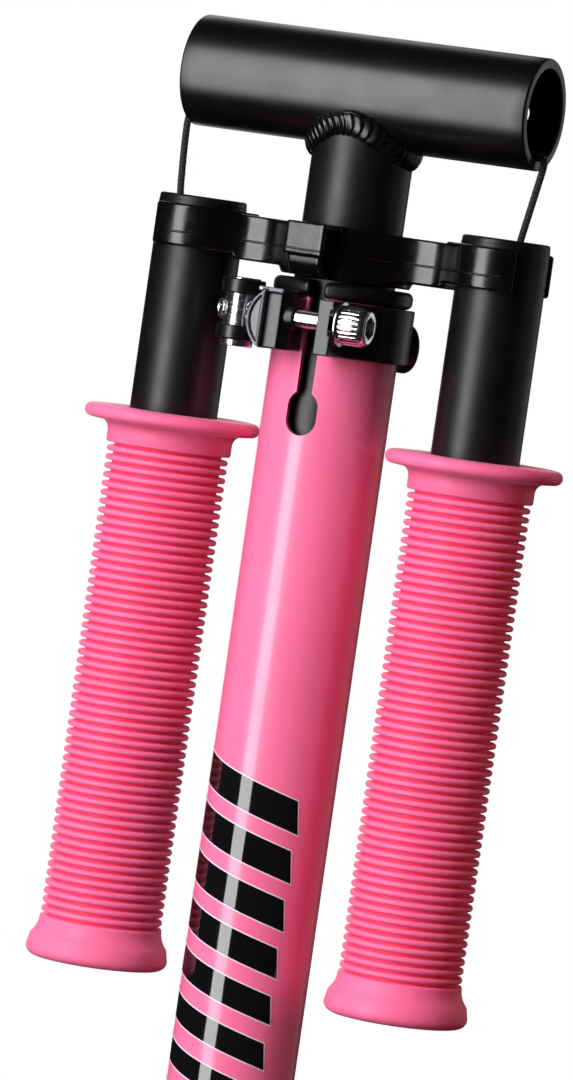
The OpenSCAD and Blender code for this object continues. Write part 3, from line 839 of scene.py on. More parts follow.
def grey_acetal():
    """Smoky, slightly clear plastic."""
    made = Finish("grey_acetal", settings().colours.saddle, 0.18, Specular_IOR_Level=0.7,
                  Transmission_Weight=0.22, Subsurface_Weight=0.15, Subsurface_Scale=0.001)
    made.mottle(2.5, 0.15)
    made.rough(1.5, 0.14, 0.26)
    # A pale bluish grey on the sharpest edges: painted highlight.
    made.tint((0.55, 0.58, 0.64), made.edges(0.53, 0.60))
    made.relief(made.noise(1.0, 2.0), 0.02)
    return made.done()


def pink_rubber():
    """Soft matt rubber, with painted shade deeper in colour down in the grooves."""
    tones = settings().colours
    made = Finish("pink_rubber", tones.pink_rubber, 0.5, Specular_IOR_Level=0.42,
                  Subsurface_Weight=0.12, Subsurface_Radius=(1.0, 0.25, 0.35),
                  Subsurface_Scale=0.0012, Sheen_Weight=0.12, Sheen_Roughness=0.4)
    # Painted shade: the rubber turns deeper crimson the further down in a groove it lies.
    depth = made.node("ShaderNodeAttribute", attribute_name="groove_depth").outputs["Fac"]
    made.tint(tuple(tones.painted_groove_shade), made.remap(depth, 0.25, 1.0, 0, 1))
    made.mottle(9, 0.04)
    made.rough(3, 0.44, 0.56)
    made.relief(made.noise(0.35, 3.0), 0.012)
    return made.done()


def black_elastic():
    """Braided textile sleeve of the elastic cord."""
    made = Finish("black_elastic", (0.006, 0.006, 0.007), 0.62, Specular_IOR_Level=0.4,
                  Sheen_Weight=0.25, Sheen_Roughness=0.5)
    made.mottle(1.2, 0.3)
    made.rough(0.6, 0.5, 0.75)
    made.relief(made.noise(0.12, 2.0, (1, 1, 3)), 0.02)
    return made.done()


def black_film():
    """Glossy black film with a faint waviness."""
    made = Finish("black_film", (0.004, 0.004, 0.005), 0.06, Specular_IOR_Level=0.6,
                  Coat_Weight=0.5, Coat_Roughness=0.03)
    made.mottle(20, 0.2)
    made.rough(10, 0.05, 0.09)
    made.relief(made.noise(6, 1.0, (1, 1, 2)), 0.05)
    return made.done()


def pale_film():
    """Pale outline of the film."""
    made = Finish("pale_film", (0.80, 0.62, 0.68), 0.3, Specular_IOR_Level=0.5)
    made.mottle(6, 0.05)
    made.rough(4, 0.25, 0.35)
    return made.done()


def pale_floor():
    """Plain pale floor."""
    made = Finish("pale_floor", (0.86, 0.86, 0.86), 0.6, Specular_IOR_Level=0.2)
    made.mottle(300, 0.01)
    return made.done()


MAKERS = {maker.__name__: maker for maker in (
    pink_paint, black_paint, tee_paint, weld_paint, black_moulding, black_nylon, black_anodised,
    painted_lit_face, black_lever, bright_steel, grey_acetal, pink_rubber, black_elastic,
    black_film, pale_film, pale_floor)}


# ---- Camera and lights ----

def camera_axes(yaw, pitch, roll):
    """Right, up and forward of the camera."""
    forward = Vector((-math.sin(yaw) * math.cos(pitch), math.cos(yaw) * math.cos(pitch),
                      math.sin(pitch)))
    level = Vector((math.cos(yaw), math.sin(yaw), 0))
    above = level.cross(forward)
    return (level * math.cos(roll) + above * math.sin(roll),
            above * math.cos(roll) - level * math.sin(roll), forward)


def make_camera(studio):
    """The camera, at its place round the tee."""
    data = bpy.data.cameras.new("camera")
    data.sensor_fit, data.sensor_height, data.sensor_width = "VERTICAL", 36, 36
    data.lens, data.clip_start, data.clip_end = studio.lens, 0.05, 50
    camera = bpy.data.objects.new("camera", data)
    bpy.context.scene.collection.objects.link(camera)
    right, up, forward = camera_axes(studio.yaw, studio.pitch, studio.roll)
    turn = Matrix((right, up, -forward)).transposed().to_4x4()
    place = Vector((studio.camera_x, -studio.camera_y, TEE_Z * MM - studio.camera_drop))
    camera.matrix_world = Matrix.Translation(place) @ turn
    bpy.context.scene.camera = camera


# The point that the lights are turned to, in metres.
LIT_POINT = Vector((0, 0, 0.40))


def soft_light(name, around, above, away, width, height, brightness, tone=(1, 1, 1), shine=True):
    """A soft flat light, placed by its direction in degrees, round and above the object."""
    data = bpy.data.lights.new(name, "AREA")
    data.shape, data.size, data.size_y = "RECTANGLE", width, height
    data.energy = brightness * math.pi * width * height
    data.color = tone
    lamp = bpy.data.objects.new(name, data)
    bpy.context.scene.collection.objects.link(lamp)
    a, e = math.radians(around), math.radians(above)
    toward = Vector((math.sin(a) * math.cos(e), -math.cos(a) * math.cos(e), math.sin(e)))
    lamp.location = LIT_POINT + toward * away
    lamp.rotation_mode = "QUATERNION"
    lamp.rotation_quaternion = toward.to_track_quat("Z", "Y")
    lamp.visible_camera = False
    lamp.visible_glossy = shine
    return lamp


def pink_pieces():
    """The collection of pink pieces, which the pink card lights."""
    return bpy.data.collections.get("pink_pieces") or bpy.data.collections.new("pink_pieces")


def light_only(lamp, pieces):
    """Keeps a light to the pieces of one collection."""
    lamp.light_linking.receiver_collection = pieces


def make_world(studio):
    """A room that looks white and lights the object only a little."""
    world = bpy.data.worlds.new("studio")
    bpy.context.scene.world = world
    world.use_nodes = True
    nodes, links = world.node_tree.nodes, world.node_tree.links
    nodes.clear()
    path = nodes.new("ShaderNodeLightPath")
    room, seen = nodes.new("ShaderNodeBackground"), nodes.new("ShaderNodeBackground")
    room.inputs["Color"].default_value = (1, 1, 1, 1)
    room.inputs["Strength"].default_value = studio.ambient
    seen.inputs["Color"].default_value = (1, 1, 1, 1)
    mix, out = nodes.new("ShaderNodeMixShader"), nodes.new("ShaderNodeOutputWorld")
    links.new(path.outputs["Is Camera Ray"], mix.inputs[0])
    links.new(room.outputs[0], mix.inputs[1])
    links.new(seen.outputs[0], mix.inputs[2])
    links.new(mix.outputs[0], out.inputs[0])


class HANDLEBAR_OT_stage(bpy.types.Operator):
    """Makes the camera, the lights and the floor"""
    bl_idname = "handlebar.stage"
    bl_label = "Stage"

    def execute(self, context):
        studio = settings().studio
        make_camera(studio)
        make_world(studio)
        soft_light("key", -25, 4, 1.5, 0.62, 2.3, studio.key)
        soft_light("front", -14, 22, 1.9, 1.4, 1.6, studio.front, shine=False)
        soft_light("side", -82, 8, 1.7, 0.9, 1.8, studio.side, shine=False)
        soft_light("back", 200, 30, 1.8, 1.4, 1.8, studio.backdrop * 1.9, shine=False)
        soft_light("edge", 120, 6, 1.8, 1.5, 2.0, 0.16)
        soft_light("end", 158, 6, 1.8, 0.34, 1.6, studio.backdrop)
        soft_light("rear_strip", 212, 10, 1.7, 0.5, 2.0, studio.backdrop * 1.2)
        bounce = soft_light("bounce", 96, 4, 1.4, 0.9, 1.8, studio.bounce, (1, 0.02, 0.06), False)
        light_only(bounce, pink_pieces())
        floor_points, floor_faces = spindle(
            [(0, -12), (1150, -12), (1160, -6), (1150, 0), (0, 0)], full_turn(96))
        floor = add_object("floor", floor_points, floor_faces, finish_named("pale_floor"))
        face_outward(floor)
        floor.visible_diffuse = floor.visible_glossy = False
        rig.stage(floor)
        above = soft_light("floor_light", 0, 89, 2.0, 3.0, 3.0, studio.floor_light, shine=False)
        ground = bpy.data.collections.new("ground")
        ground.objects.link(floor)
        light_only(above, ground)
        context.scene.view_settings.view_transform = "Standard"
        return {"FINISHED"}


# ---- Pieces ----

class HANDLEBAR_OT_cad_finishes(bpy.types.Operator):
    """Gives the frame's own pieces their finishes"""
    bl_idname = "handlebar.cad_finishes"
    bl_label = "Frame pieces"

    def execute(self, context):
        slots = {row["node"]: row["material_slot"] for row in frame["record"]["subparts"]}
        for node, piece in frame["nodes"].items():
            piece.data.materials.clear()
            piece.data.materials.append(finish_named(slots[node]))
            if slots[node].startswith("pink"):
                pink_pieces().objects.link(piece)
        return {"FINISHED"}


def tube_outline(outer, inner, low, high, edge, steps=3):
    """Closed outline of a tube's wall with rounded rims."""
    return rounded([(outer, low, edge), (outer, high, edge), (inner, high, edge),
                    (inner, low, edge)], steps)


class HANDLEBAR_OT_tee(bpy.types.Operator):
    """Makes the tee's open cross tube"""
    bl_idname = "handlebar.tee"
    bl_label = "Tee"

    def execute(self, context):
        wall, bands = 2.7, 12
        bore = TEE_R - wall
        edge = mm(settings().metal.tee_rim)
        outline = tube_outline(TEE_R, bore, -TEE_HALF, TEE_HALF, edge, 4)
        side = [(TEE_R, -TEE_HALF + 4 + (2 * TEE_HALF - 8) * k / bands) for k in range(bands + 1)]
        lining = [(bore, z) for _, z in reversed(side)]
        outline = outline[:5] + side + outline[5:15] + lining + outline[15:]
        points, faces = lathe(outline, full_turn(128))
        lay = Matrix.Rotation(math.radians(90), 3, "Y")
        tee = add_object("tee", moved(points, (0, 0, TEE_Z), lay), faces,
                         finish_named("tee_paint"), 40)
        face_outward(tee)
        hole_x = TEE_HALF - 39 + (MOUTH_Z - BUTTON_Z)
        for side_x in (-hole_x, hole_x):
            drill, walls = spindle([(0, 0), (3.45, 0), (3.45, 30), (0, 30)], full_turn(48))
            back = Matrix.Rotation(math.radians(-90), 3, "X")
            cutter = add_object("drill", moved(drill, (side_x, 0, TEE_Z), back), walls, [])
            face_outward(cutter)
            cut_out(tee, cutter)
        tee.data.set_sharp_from_angle(angle=math.radians(40))
        settle(tee, "stem", "black_paint", "tee_bar")
        return {"FINISHED"}


def saddle_line(theta, out=0.0):
    """Point where the stem meets the tee, moved out along both surfaces."""
    r = STEM_R + out
    x, y = r * math.cos(theta), r * math.sin(theta)
    return Vector((x, y, TEE_Z - math.sqrt(max((TEE_R + out) ** 2 - y * y, 0))))


def bead_line(theta):
    """Middle of the weld bead, which sags a little at the front and the back."""
    point = saddle_line(theta, 0.55)
    point.z -= 0.7 + 2.3 * math.sin(theta) ** 6
    return point


class HANDLEBAR_OT_weld(bpy.types.Operator):
    """Makes the rippled weld bead under the tee"""
    bl_idname = "handlebar.weld"
    bl_label = "Weld"

    def execute(self, context):
        metal = settings().metal
        bead, ripple, sides, rings = mm(metal.bead), mm(metal.ripple), 24, 11
        marks = [bead_line(2 * math.pi * k / 400) for k in range(401)]
        run = [0.0]
        for a, b in zip(marks, marks[1:]):
            run.append(run[-1] + (b - a).length)
        ripples = round(run[-1] / ripple)
        count = ripples * rings
        theta = np.interp(np.linspace(0, run[-1], count, endpoint=False), run,
                          np.linspace(0, 2 * math.pi, 401))
        points = []
        for i, t in enumerate(theta):
            here = bead_line(t)
            along = (bead_line(t + 0.01) - bead_line(t - 0.01)).normalized()
            out = Vector((math.cos(t), math.sin(t), -0.35)).normalized()
            out = (out - along * out.dot(along)).normalized()
            up = out.cross(along)
            swell = 1 + 0.05 * math.sin(5 * t + 1.0) + 0.04 * math.sin(11 * t)
            for k in range(sides):
                spin = 2 * math.pi * k / sides
                lag = 0.55 * math.sin(spin) ** 2 + 0.3 * math.sin(3 * t)
                phase = (i / rings + lag) % 1.0
                crest = 0.42 * (phase if phase < 0.82 else (1 - phase) * 4.55)
                points.append(here + out * ((bead * 0.55 * swell + crest - 0.3) * math.cos(spin))
                              + up * ((bead * 1.1 * swell + crest - 0.3) * math.sin(spin)))
        faces = [(i * sides + k, i * sides + (k + 1) % sides,
                  ((i + 1) % count) * sides + (k + 1) % sides, ((i + 1) % count) * sides + k)
                 for i in range(count) for k in range(sides)]
        weld = add_object("weld", points, faces, finish_named("weld_paint"))
        face_outward(weld)
        settle(weld, "stem", "black_paint", "weld_bead")
        return {"FINISHED"}


def holder_field(x, y, z):
    """The holder: a hub with its block, two arms and two clips."""
    moulding = settings().moulding
    edge, fillet = mm(moulding.edge), mm(moulding.arm_fillet)
    top = HUB_LOW.z + 12.9
    across = np.abs(x) - HANDLE_X
    arms = keep(np.abs(y) - 6, across + HANDLE_R + 1, 0)
    plan = join(join(rod(x, y, HUB_R), arms, fillet), rod(across, y, CLIP_R), fillet * 0.7)
    hub_end = ramp(np.hypot(x, y), HUB_R - 0.2, HUB_R + 0.8)
    clip_end = ramp(across, -CLIP_R, 0.8 - CLIP_R)
    low = HUB_LOW.z + 1.6 * hub_end + 1.2 * clip_end
    high = top + (CLIP_HIGH.z - top) * clip_end
    body = slab(plan, z, low, high, edge)
    turn = moulding.block_turn
    bx = x * math.cos(turn) + y * math.sin(turn)
    by = -x * math.sin(turn) + y * math.cos(turn)
    block_top, block_h = top + 0.3, 8.2
    block_low = block_top - block_h
    web = block_low - HUB_LOW.z
    block = slab(brick(bx, by + 12, 5.65, 12, 0.8), z, block_low, block_top, 0.7)
    fin = join(rod(by + 24 - web - 1, z - block_low, web),
               brick(by + 8, z - HUB_LOW.z - web / 2, 24 - web - 9, web / 2), 0)
    fin = np.maximum(slab(fin, bx, -4.6, 4.6, 0.5), -by - 23)
    body = join(body, join(block, fin, 0.4), 1.2)
    body = cut(body, rod(x, y, STEM_R + 0.15), 0.5)
    body = cut(body, rod(across, y, HANDLE_R + 0.12), 0.5)
    mouth = sector(across, y, -moulding.jaw_front, moulding.jaw_rear)
    return cut(body, np.maximum(mouth, 6 - across), 0.6)


class HANDLEBAR_OT_holder(bpy.types.Operator):
    """Makes the moulded holder with its two clips"""
    bl_idname = "handlebar.holder"
    bl_label = "Handle holder"

    def execute(self, context):
        reach = HANDLE_X + CLIP_R + 0.6
        holder = sculpt("holder", holder_field, (-reach, HUB_LOW.y - 1, HUB_LOW.z - 1),
                        (reach, HUB_HIGH.y + 1, HUB_HIGH.z + 2), 0.48,
                        finish_named("black_moulding"))
        settle(holder, "holder", "black_moulding", "handle_holder", "left_clip_jaws",
               "right_clip_jaws")
        return {"FINISHED"}


def grip_outline(sizes):
    """Outline of a grip, from its closed foot up to its flange and down its bore."""
    foot, top = GRIP_LOW.z, FLANGE_HIGH.z
    outer = HANDLE_R + 0.05 + 4.25
    flare_r, flange_r = (GRIP_HIGH.x - GRIP_LOW.x) / 2, (FLANGE_HIGH.x - FLANGE_LOW.x) / 2
    pitch, width, depth = mm(sizes.rib_pitch), mm(sizes.rib_width), mm(sizes.rib_depth)
    neck_low = top - mm(sizes.neck)
    flare_top = foot + mm(sizes.flare_height)
    outline = [(0, foot), (flare_r - 5, foot)]
    outline += rounded([(flare_r - 5, foot, 0), (flare_r, foot, 2.3), (flare_r, foot + 6, 0)], 6)[1:-1]
    for k in range(1, 9):
        rise = k / 8
        r = flare_r + (outer + 0.15 - flare_r) * (1 - (1 - rise) ** 2.1)
        outline.append((r, foot + 4.6 + (flare_top - foot - 5.0) * rise))
    outline.append((outer, flare_top))
    ribs = int((neck_low - flare_top + width) / pitch)
    pitch = (neck_low - flare_top + width) / ribs
    groove = pitch - width
    half = (pitch - groove) / 2
    floor_r = outer - depth
    for k in range(ribs):
        z = flare_top + k * pitch
        outline += [(floor_r + 0.35, z + 0.02), (floor_r, z + 0.2), (floor_r, z + groove - 0.2),
                    (floor_r + 0.35, z + groove - 0.02)]
        if k < ribs - 1:
            for turn in (0, 30, 60, 90, 120, 150, 180):
                a = math.radians(turn)
                outline.append((outer - half * 0.85 + half * 0.85 * math.sin(a),
                                z + groove + half - half * math.cos(a)))
    edge = mm(sizes.flange_edge) / 2
    neck_r = outer + 0.4
    outline.append((neck_r - 0.3, neck_low + 0.02))
    outline.append((neck_r, neck_low + 0.35))
    under = top - 2 * edge
    outline.append((neck_r, under - 2.9))
    for k in range(1, 7):
        a = math.radians(15 * k)
        outline.append((neck_r + 2.0 * (1 - math.cos(a)), under - 2.9 + 2.6 * math.sin(a)))
    outline.append((flange_r - edge, under))
    for k in range(1, 12):
        a = math.radians(-90 + 15 * k)
        outline.append((flange_r - edge + edge * math.cos(a), top - edge + edge * math.sin(a)))
    bore = HANDLE_R + 0.05
    outline += [(flange_r - edge, top), (bore + 2.2, top), (bore + 0.5, top), (bore, top - 0.5),
                (bore, foot + 4), (bore - 1, foot + 3), (0, foot + 3)]
    return outline, outer, floor_r


def grip_angles(line):
    """Angles round a grip, closer together at its two moulding lines."""
    angles = {round(a, 5) for a in full_turn(84)}
    for start in (line, line + math.pi):
        centre = (start - math.pi / 2) % (2 * math.pi)
        angles = {a for a in angles if abs((a - centre + math.pi) % (2 * math.pi) - math.pi) > 0.03}
        angles |= {round((centre + d) % (2 * math.pi), 5) for d in (-0.024, -0.010, 0, 0.010, 0.024)}
    return sorted(angles)


class HANDLEBAR_OT_grips(bpy.types.Operator):
    """Makes the two ribbed grips"""
    bl_idname = "handlebar.grips"
    bl_label = "Grips"

    def execute(self, context):
        sizes = settings().grip
        outline, outer, floor_r = grip_outline(sizes)
        angles = grip_angles(sizes.moulding_line)
        points, faces = spindle(outline, angles)
        count = len(outline) - 2
        lines = [(start - math.pi / 2) % (2 * math.pi)
                 for start in (sizes.moulding_line, sizes.moulding_line + math.pi)]
        for i, a in enumerate(angles):
            if min(abs(a - line) for line in lines) < 0.002:
                for k in range(count):
                    x, y, z = points[i * count + k]
                    if math.hypot(x, y) > floor_r + 0.5:
                        points[i * count + k] = (x + 0.10 * math.cos(a), y + 0.10 * math.sin(a), z)
        depth = [min(max((outer - math.hypot(x, y)) / (outer - floor_r), 0), 1)
                 for x, y, _ in points]
        for hand, side in HANDS:
            grip = add_object(f"{hand}_rubber_grip", moved(points, (side * HANDLE_X, 0, 0)), faces,
                              finish_named("pink_rubber"))
            face_outward(grip)
            # groove_depth drives the painted shade in the rubber's grooves.
            attribute = grip.data.attributes.new("groove_depth", "FLOAT", "POINT")
            attribute.data.foreach_set("value", depth)
            settle(grip, f"{hand}_handle", "pink_rubber", f"{hand}_grip", f"{hand}_grip_flange")
        return {"FINISHED"}


class HANDLEBAR_OT_mouth_bushes(bpy.types.Operator):
    """Makes the plastic bushes in the handles' mouths"""
    bl_idname = "handlebar.mouth_bushes"
    bl_label = "Mouth bushes"

    def execute(self, context):
        rim, low = 1.6, corners("right_mouth_bush")[0].z
        skirt, bore = HANDLE_R - 1.55, 8.5
        outline = rounded([(HANDLE_R - 0.1, MOUTH_Z - rim, 0.1), (HANDLE_R - 0.1, MOUTH_Z, 0.75),
                           (bore, MOUTH_Z, 0.5), (bore, low, 0.2), (skirt, low, 0.2),
                           (skirt, MOUTH_Z - rim, 0)], 5)
        points, faces = lathe(outline, full_turn(80))
        for hand, side in HANDS:
            bush = add_object(f"{hand}_mouth_rim", moved(points, (side * HANDLE_X, 0, 0)), faces,
                              finish_named("black_nylon"), 40)
            face_outward(bush)
            settle(bush, f"{hand}_handle", "black_nylon", f"{hand}_mouth_bush")
        return {"FINISHED"}


# Each cord's route from the tee's end to the handle's mouth, in millimetres past
# the tee's end, across, and below the tee's middle.
CORD_SPANS = {
    "left": [(-1.5, 0, 10.2), (0, 0, 10.2), (1.1, 0, 10.6), (1.8, -0.1, 11.7),
             (2.0, -0.2, 13.2), (1.95, -0.4, 16), (1.7, -0.6, 21), (1.35, -0.8, 26),
             (0.9, -1, 31), (-0.1, -0.9, 36), (-2.1, -0.5, 42), (-4.1, -0.2, 47),
             (-5.3, 0, 52), (-5.3, 0, 54)],
    "right": [(-1.5, 0, 10.2), (0, 0, 10.2), (1, 0, 10.6), (1.55, -0.1, 11.6),
              (1.6, -0.2, 13), (1.2, -0.4, 16), (0.4, -0.6, 21), (-0.4, -0.8, 26),
              (-1.2, -1, 31), (-2.0, -0.9, 36), (-3.1, -0.5, 42), (-4.4, -0.2, 47),
              (-5.3, 0, 52), (-5.3, 0, 54)],
}


def smooth_route(points, spacing):
    """A smooth line through points, at even steps."""
    ends = [2 * points[0] - points[1]] + points + [2 * points[-1] - points[-2]]
    fine = []
    for a, b, c, d in zip(ends, ends[1:], ends[2:], ends[3:]):
        for k in range(24):
            t = k / 24
            fine.append(0.5 * ((2 * b) + (c - a) * t + (2 * a - 5 * b + 4 * c - d) * t * t
                               + (3 * b - a - 3 * c + d) * t ** 3))
    fine.append(points[-1])
    run = np.concatenate([[0], np.cumsum([(b - a).length for a, b in zip(fine, fine[1:])])])
    steps = np.linspace(0, run[-1], int(run[-1] / spacing) + 1)
    table = np.array([list(p) for p in fine])
    return [Vector(p) for p in np.stack([np.interp(steps, run, table[:, i]) for i in range(3)], 1)]


def braided(route, radius, lay, sides=24):
    """Points and faces of a braided cord along a route."""
    points = []
    across = Vector((0, 1, 0))
    run = 0.0
    for i, here in enumerate(route):
        along = (route[min(i + 1, len(route) - 1)] - route[max(i - 1, 0)]).normalized()
        if i:
            run += (here - route[i - 1]).length
        u = (across - along * across.dot(along)).normalized()
        v = along.cross(u)
        across = u
        for k in range(sides):
            spin = 2 * math.pi * k / sides
            turn = 2 * math.pi * run / lay
            left, right = math.cos(4 * (spin + turn)), math.cos(4 * (spin - turn))
            r = radius * (0.88 + 0.12 * max(left, right) - 0.06 * (left * right < 0))
            points.append(here + u * (r * math.cos(spin)) + v * (r * math.sin(spin)))
    count = len(route)
    faces = [(i * sides + k, i * sides + (k + 1) % sides, (i + 1) * sides + (k + 1) % sides,
              (i + 1) * sides + k) for i in range(count - 1) for k in range(sides)]
    faces += [tuple(range(sides))[::-1], tuple((count - 1) * sides + k for k in range(sides))]
    return points, faces


class HANDLEBAR_OT_cords(bpy.types.Operator):
    """Makes the two spans of elastic cord between the tee and the handles"""
    bl_idname = "handlebar.cords"
    bl_label = "Elastic cord"

    def execute(self, context):
        sizes = settings().cord
        radius = mm(sizes.diameter) / 2
        for hand, side in HANDS:
            corner = [Vector((side * (TEE_HALF + out), across, TEE_Z - below))
                      for out, across, below in CORD_SPANS[hand]]
            route = smooth_route(corner, 0.16)
            points, faces = braided(route, radius, mm(sizes.braid))
            span = add_object(f"{hand}_elastic", points, faces, finish_named("black_elastic"))
            face_outward(span)
            start, end = corner[0] * MM, corner[-1] * MM
            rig.blend(span, "stem", f"{hand}_handle", start=start, end=end)
            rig.slot(span, "black_elastic")
            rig.replaces(span, f"{hand}_cord_span")
            line = [p * MM for p in route]
            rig.cord(span, exit=line[0], length=sum((b - a).length for a, b in zip(line, line[1:])),
                    diameter=sizes.diameter, far_end="object", stiffness="limp", lay="taut",
                    path=[list(p) for p in line[::6]] + [list(line[-1])])
        return {"FINISHED"}


def collar_field(x, y, z):
    """The clamp's collar with its two ears."""
    ear_in, ear_out = 4.9, 8.9
    plan = join(rod(x, y, COLLAR_HIGH.x),
                brick(x, y + 14, ear_out, -COLLAR_LOW.y - 14, 0.3), 1.2)
    solid = slab(plan, z, COLLAR_LOW.z, COLLAR_HIGH.z, 0.35)
    solid = cut(solid, rod(x, y, COLUMN_R + 0.06), 0.25)
    solid = cut(solid, np.maximum(np.abs(x) - ear_in, y), 0.35)
    rib = slab(brick(x + ear_in - 0.5, y - COLLAR_LOW.y - 6.5, 1.4, 6, 0.3), z, COLLAR_LOW.z,
               COLLAR_HIGH.z, 0.3)
    rib = np.maximum(rib, (x + ear_in - y + COLLAR_LOW.y + 0.6) / math.sqrt(2))
    solid = join(solid, np.maximum(rib, COLUMN_R + 0.06 - np.hypot(x, y)), 0)
    spacer = slab(rod(y - BOLT_Y, z - BOLT_Z, 3.1), x, -ear_in - 0.5, -2.0, 0.3)
    boss = slab(rod(y - BOLT_Y, z - BOLT_Z, 5.3), x, ear_out - 0.5, ear_out + 0.9, 0.25)
    return cut(join(join(solid, spacer, 0), boss, 0), rod(y - BOLT_Y, z - BOLT_Z, 2.5), 0.2)


class HANDLEBAR_OT_collar(bpy.types.Operator):
    """Makes the clamp's collar"""
    bl_idname = "handlebar.collar"
    bl_label = "Clamp collar"

    def execute(self, context):
        collar = sculpt("collar", collar_field, tuple(c - 1 for c in COLLAR_LOW),
                        tuple(c + 1 for c in COLLAR_HIGH), 0.36,
                        [finish_named("black_anodised"), finish_named("painted_lit_face")])
        # Faces turned to the front and up take a lighter grey: painted light.
        for face in collar.data.polygons:
            flat_front = face.normal.y < -0.93 and face.center.y / MM < COLLAR_LOW.y + 0.6
            flat_top = face.normal.z > 0.93 and face.center.y / MM < -COLUMN_R - 1.2 \
                and 5.0 < abs(face.center.x / MM) < 8.8
            if flat_front or flat_top:
                face.material_index = 1
        settle(collar, "column", "black_anodised", "clamp_collar")
        return {"FINISHED"}


def turned(rings, count):
    """Points and faces of a solid along X, from rings of (place, radius by angle)."""
    points = [(x, radius(a) * math.cos(a), radius(a) * math.sin(a))
              for x, radius in rings for a in full_turn(count)]
    faces = [(i * count + k, i * count + (k + 1) % count, (i + 1) * count + (k + 1) % count,
              (i + 1) * count + k) for i in range(len(rings) - 1) for k in range(count)]
    low, high = len(points), len(points) + 1
    points += [(rings[0][0], 0, 0), (rings[-1][0], 0, 0)]
    last = (len(rings) - 1) * count
    faces += [(low, (k + 1) % count, k) for k in range(count)]
    faces += [(high, last + k, last + (k + 1) % count) for k in range(count)]
    return points, faces


def knurled_head(start, long, radius, flats, knurls):
    """A knurled head with a hexagonal socket, along X from its seat."""
    end = start + long

    def plain(r):
        return lambda a: r

    def ridged(r):
        return lambda a: r - 0.20 * abs(math.sin(knurls * a / 2)) ** 5

    def hexagon(half):
        return lambda a: half / math.cos((a + math.pi / 6) % (math.pi / 3) - math.pi / 6)

    return turned([
        (start, plain(radius - 0.45)), (start + 0.12, plain(radius - 0.2)),
        (start + 0.5, plain(radius - 0.12)), (start + 0.8, ridged(radius)),
        (end - 1.9, ridged(radius)), (end - 1.6, plain(radius - 0.16)),
        (end - 1.1, plain(radius - 0.18)), (end - 0.35, plain(radius - 0.62)),
        (end - 0.08, plain(radius - 0.95)), (end, plain(radius - 1.2)),
        (end, hexagon(flats + 0.18)), (end - 0.14, hexagon(flats + 0.03)),
        (end - 0.3, hexagon(flats)), (end - 3.2, hexagon(flats)),
        (end - 3.2, hexagon(flats - 0.2)), (end - 3.7, plain(0.4))], knurls * 8)


def threaded_shank(low, high, thread_end, thin, radius, pitch):
    """A bolt's shank along X: a thread, a plain part and a thinner part."""
    rings = []
    steps = int((high - low) / (pitch / 8))
    for i in range(steps + 1):
        x = low + (high - low) * i / steps
        wide = radius - max(0.0, low + 0.8 - x) * 0.9
        if x > thin:
            wide = 0.78 * radius

        def by_angle(a, x=x, wide=wide):
            if x > thread_end:
                return wide
            turn = (x / pitch - a / (2 * math.pi)) % 1.0
            return wide - 0.40 * (1 - abs(2 * turn - 1))

        rings.append((x, by_angle))
    return turned(rings, 40)


def add_bolts(name, shells, material):
    """One object from several shells of (points, faces, offset)."""
    points, faces = [], []
    for more, walls, offset in shells:
        faces += [tuple(i + len(points) for i in wall) for wall in walls]
        points += moved(more, offset)
    bolts = add_object(name, points, faces, material, 38)
    face_outward(bolts)
    return bolts


class HANDLEBAR_OT_bolt(bpy.types.Operator):
    """Makes the clamp bolt and its washer"""
    bl_idname = "handlebar.bolt"
    bl_label = "Clamp bolt"

    def execute(self, context):
        steel = finish_named("bright_steel")
        metal = settings().metal
        head_x = WASHER_HIGH.x + 0.95
        head = knurled_head(head_x, BOLT_HIGH.x - head_x, 4.95, 2.5, metal.knurls)
        shank = threaded_shank(BOLT_LOW.x, head_x + 0.5, -9, -3, 3.0, mm(metal.thread))
        axis = (0, BOLT_Y, BOLT_Z)
        bolt = add_bolts("knurled_bolt", [(*head, axis), (*shank, axis)], steel)
        settle(bolt, "column", "bright_steel", "clamp_bolt")
        thick = WASHER_HIGH.x - WASHER_LOW.x
        outline = tube_outline(5.6, 2.5, 0, thick, 0.14, 3)
        points, faces = lathe(outline, full_turn(64))
        lay = Matrix.Rotation(math.radians(90), 3, "Y")
        washer = add_object("washer", moved(points, (WASHER_LOW.x + 0.93, BOLT_Y, BOLT_Z), lay), faces,
                            steel, 50)
        face_outward(washer)
        settle(washer, "column", "bright_steel", "bolt_washer")
        return {"FINISHED"}


def saddle_field(x, y, z):
    """The curved block under the lever, with a raised rim and a tab over the ear."""
    half_h = (SADDLE_HIGH.z - SADDLE_LOW.z) / 2
    thick = SADDLE_HIGH.x - SADDLE_LOW.x
    arc = (half_h ** 2 + thick ** 2) / (2 * thick)
    zz = z - (SADDLE_HIGH.z + SADDLE_LOW.z) / 2
    curve = rod(x - SADDLE_LOW.x - arc, zz, arc)
    plan = keep(keep(curve, x - SADDLE_HIGH.x, 0.2), np.abs(zz) - half_h, 0.4)
    front, back = SADDLE_LOW.y, SADDLE_HIGH.y
    body = slab(plan, y, front + 0.7, back, 0.3)
    rim = np.maximum(plan, -(plan + 0.75))
    body = join(body, slab(rim, y, front, back, 0.25), 0.3)
    tab = slab(brick(x + 7.6, zz - half_h - 0.25, 3.3, 0.55, 0.4), y, front + 0.6, back - 1, 0.3)
    body = join(body, tab, 0.8)
    zz = z - BOLT_Z
    body = cut(body, rod(y - BOLT_Y, zz, 3.2), 0.2)
    for sign in (-1, 1):
        fork = np.maximum(rod(x - BARREL_X, y - BOLT_Y, BARREL_R + 1.8), 3.6 - sign * zz)
        body = cut(body, fork, 0.3)
    return body


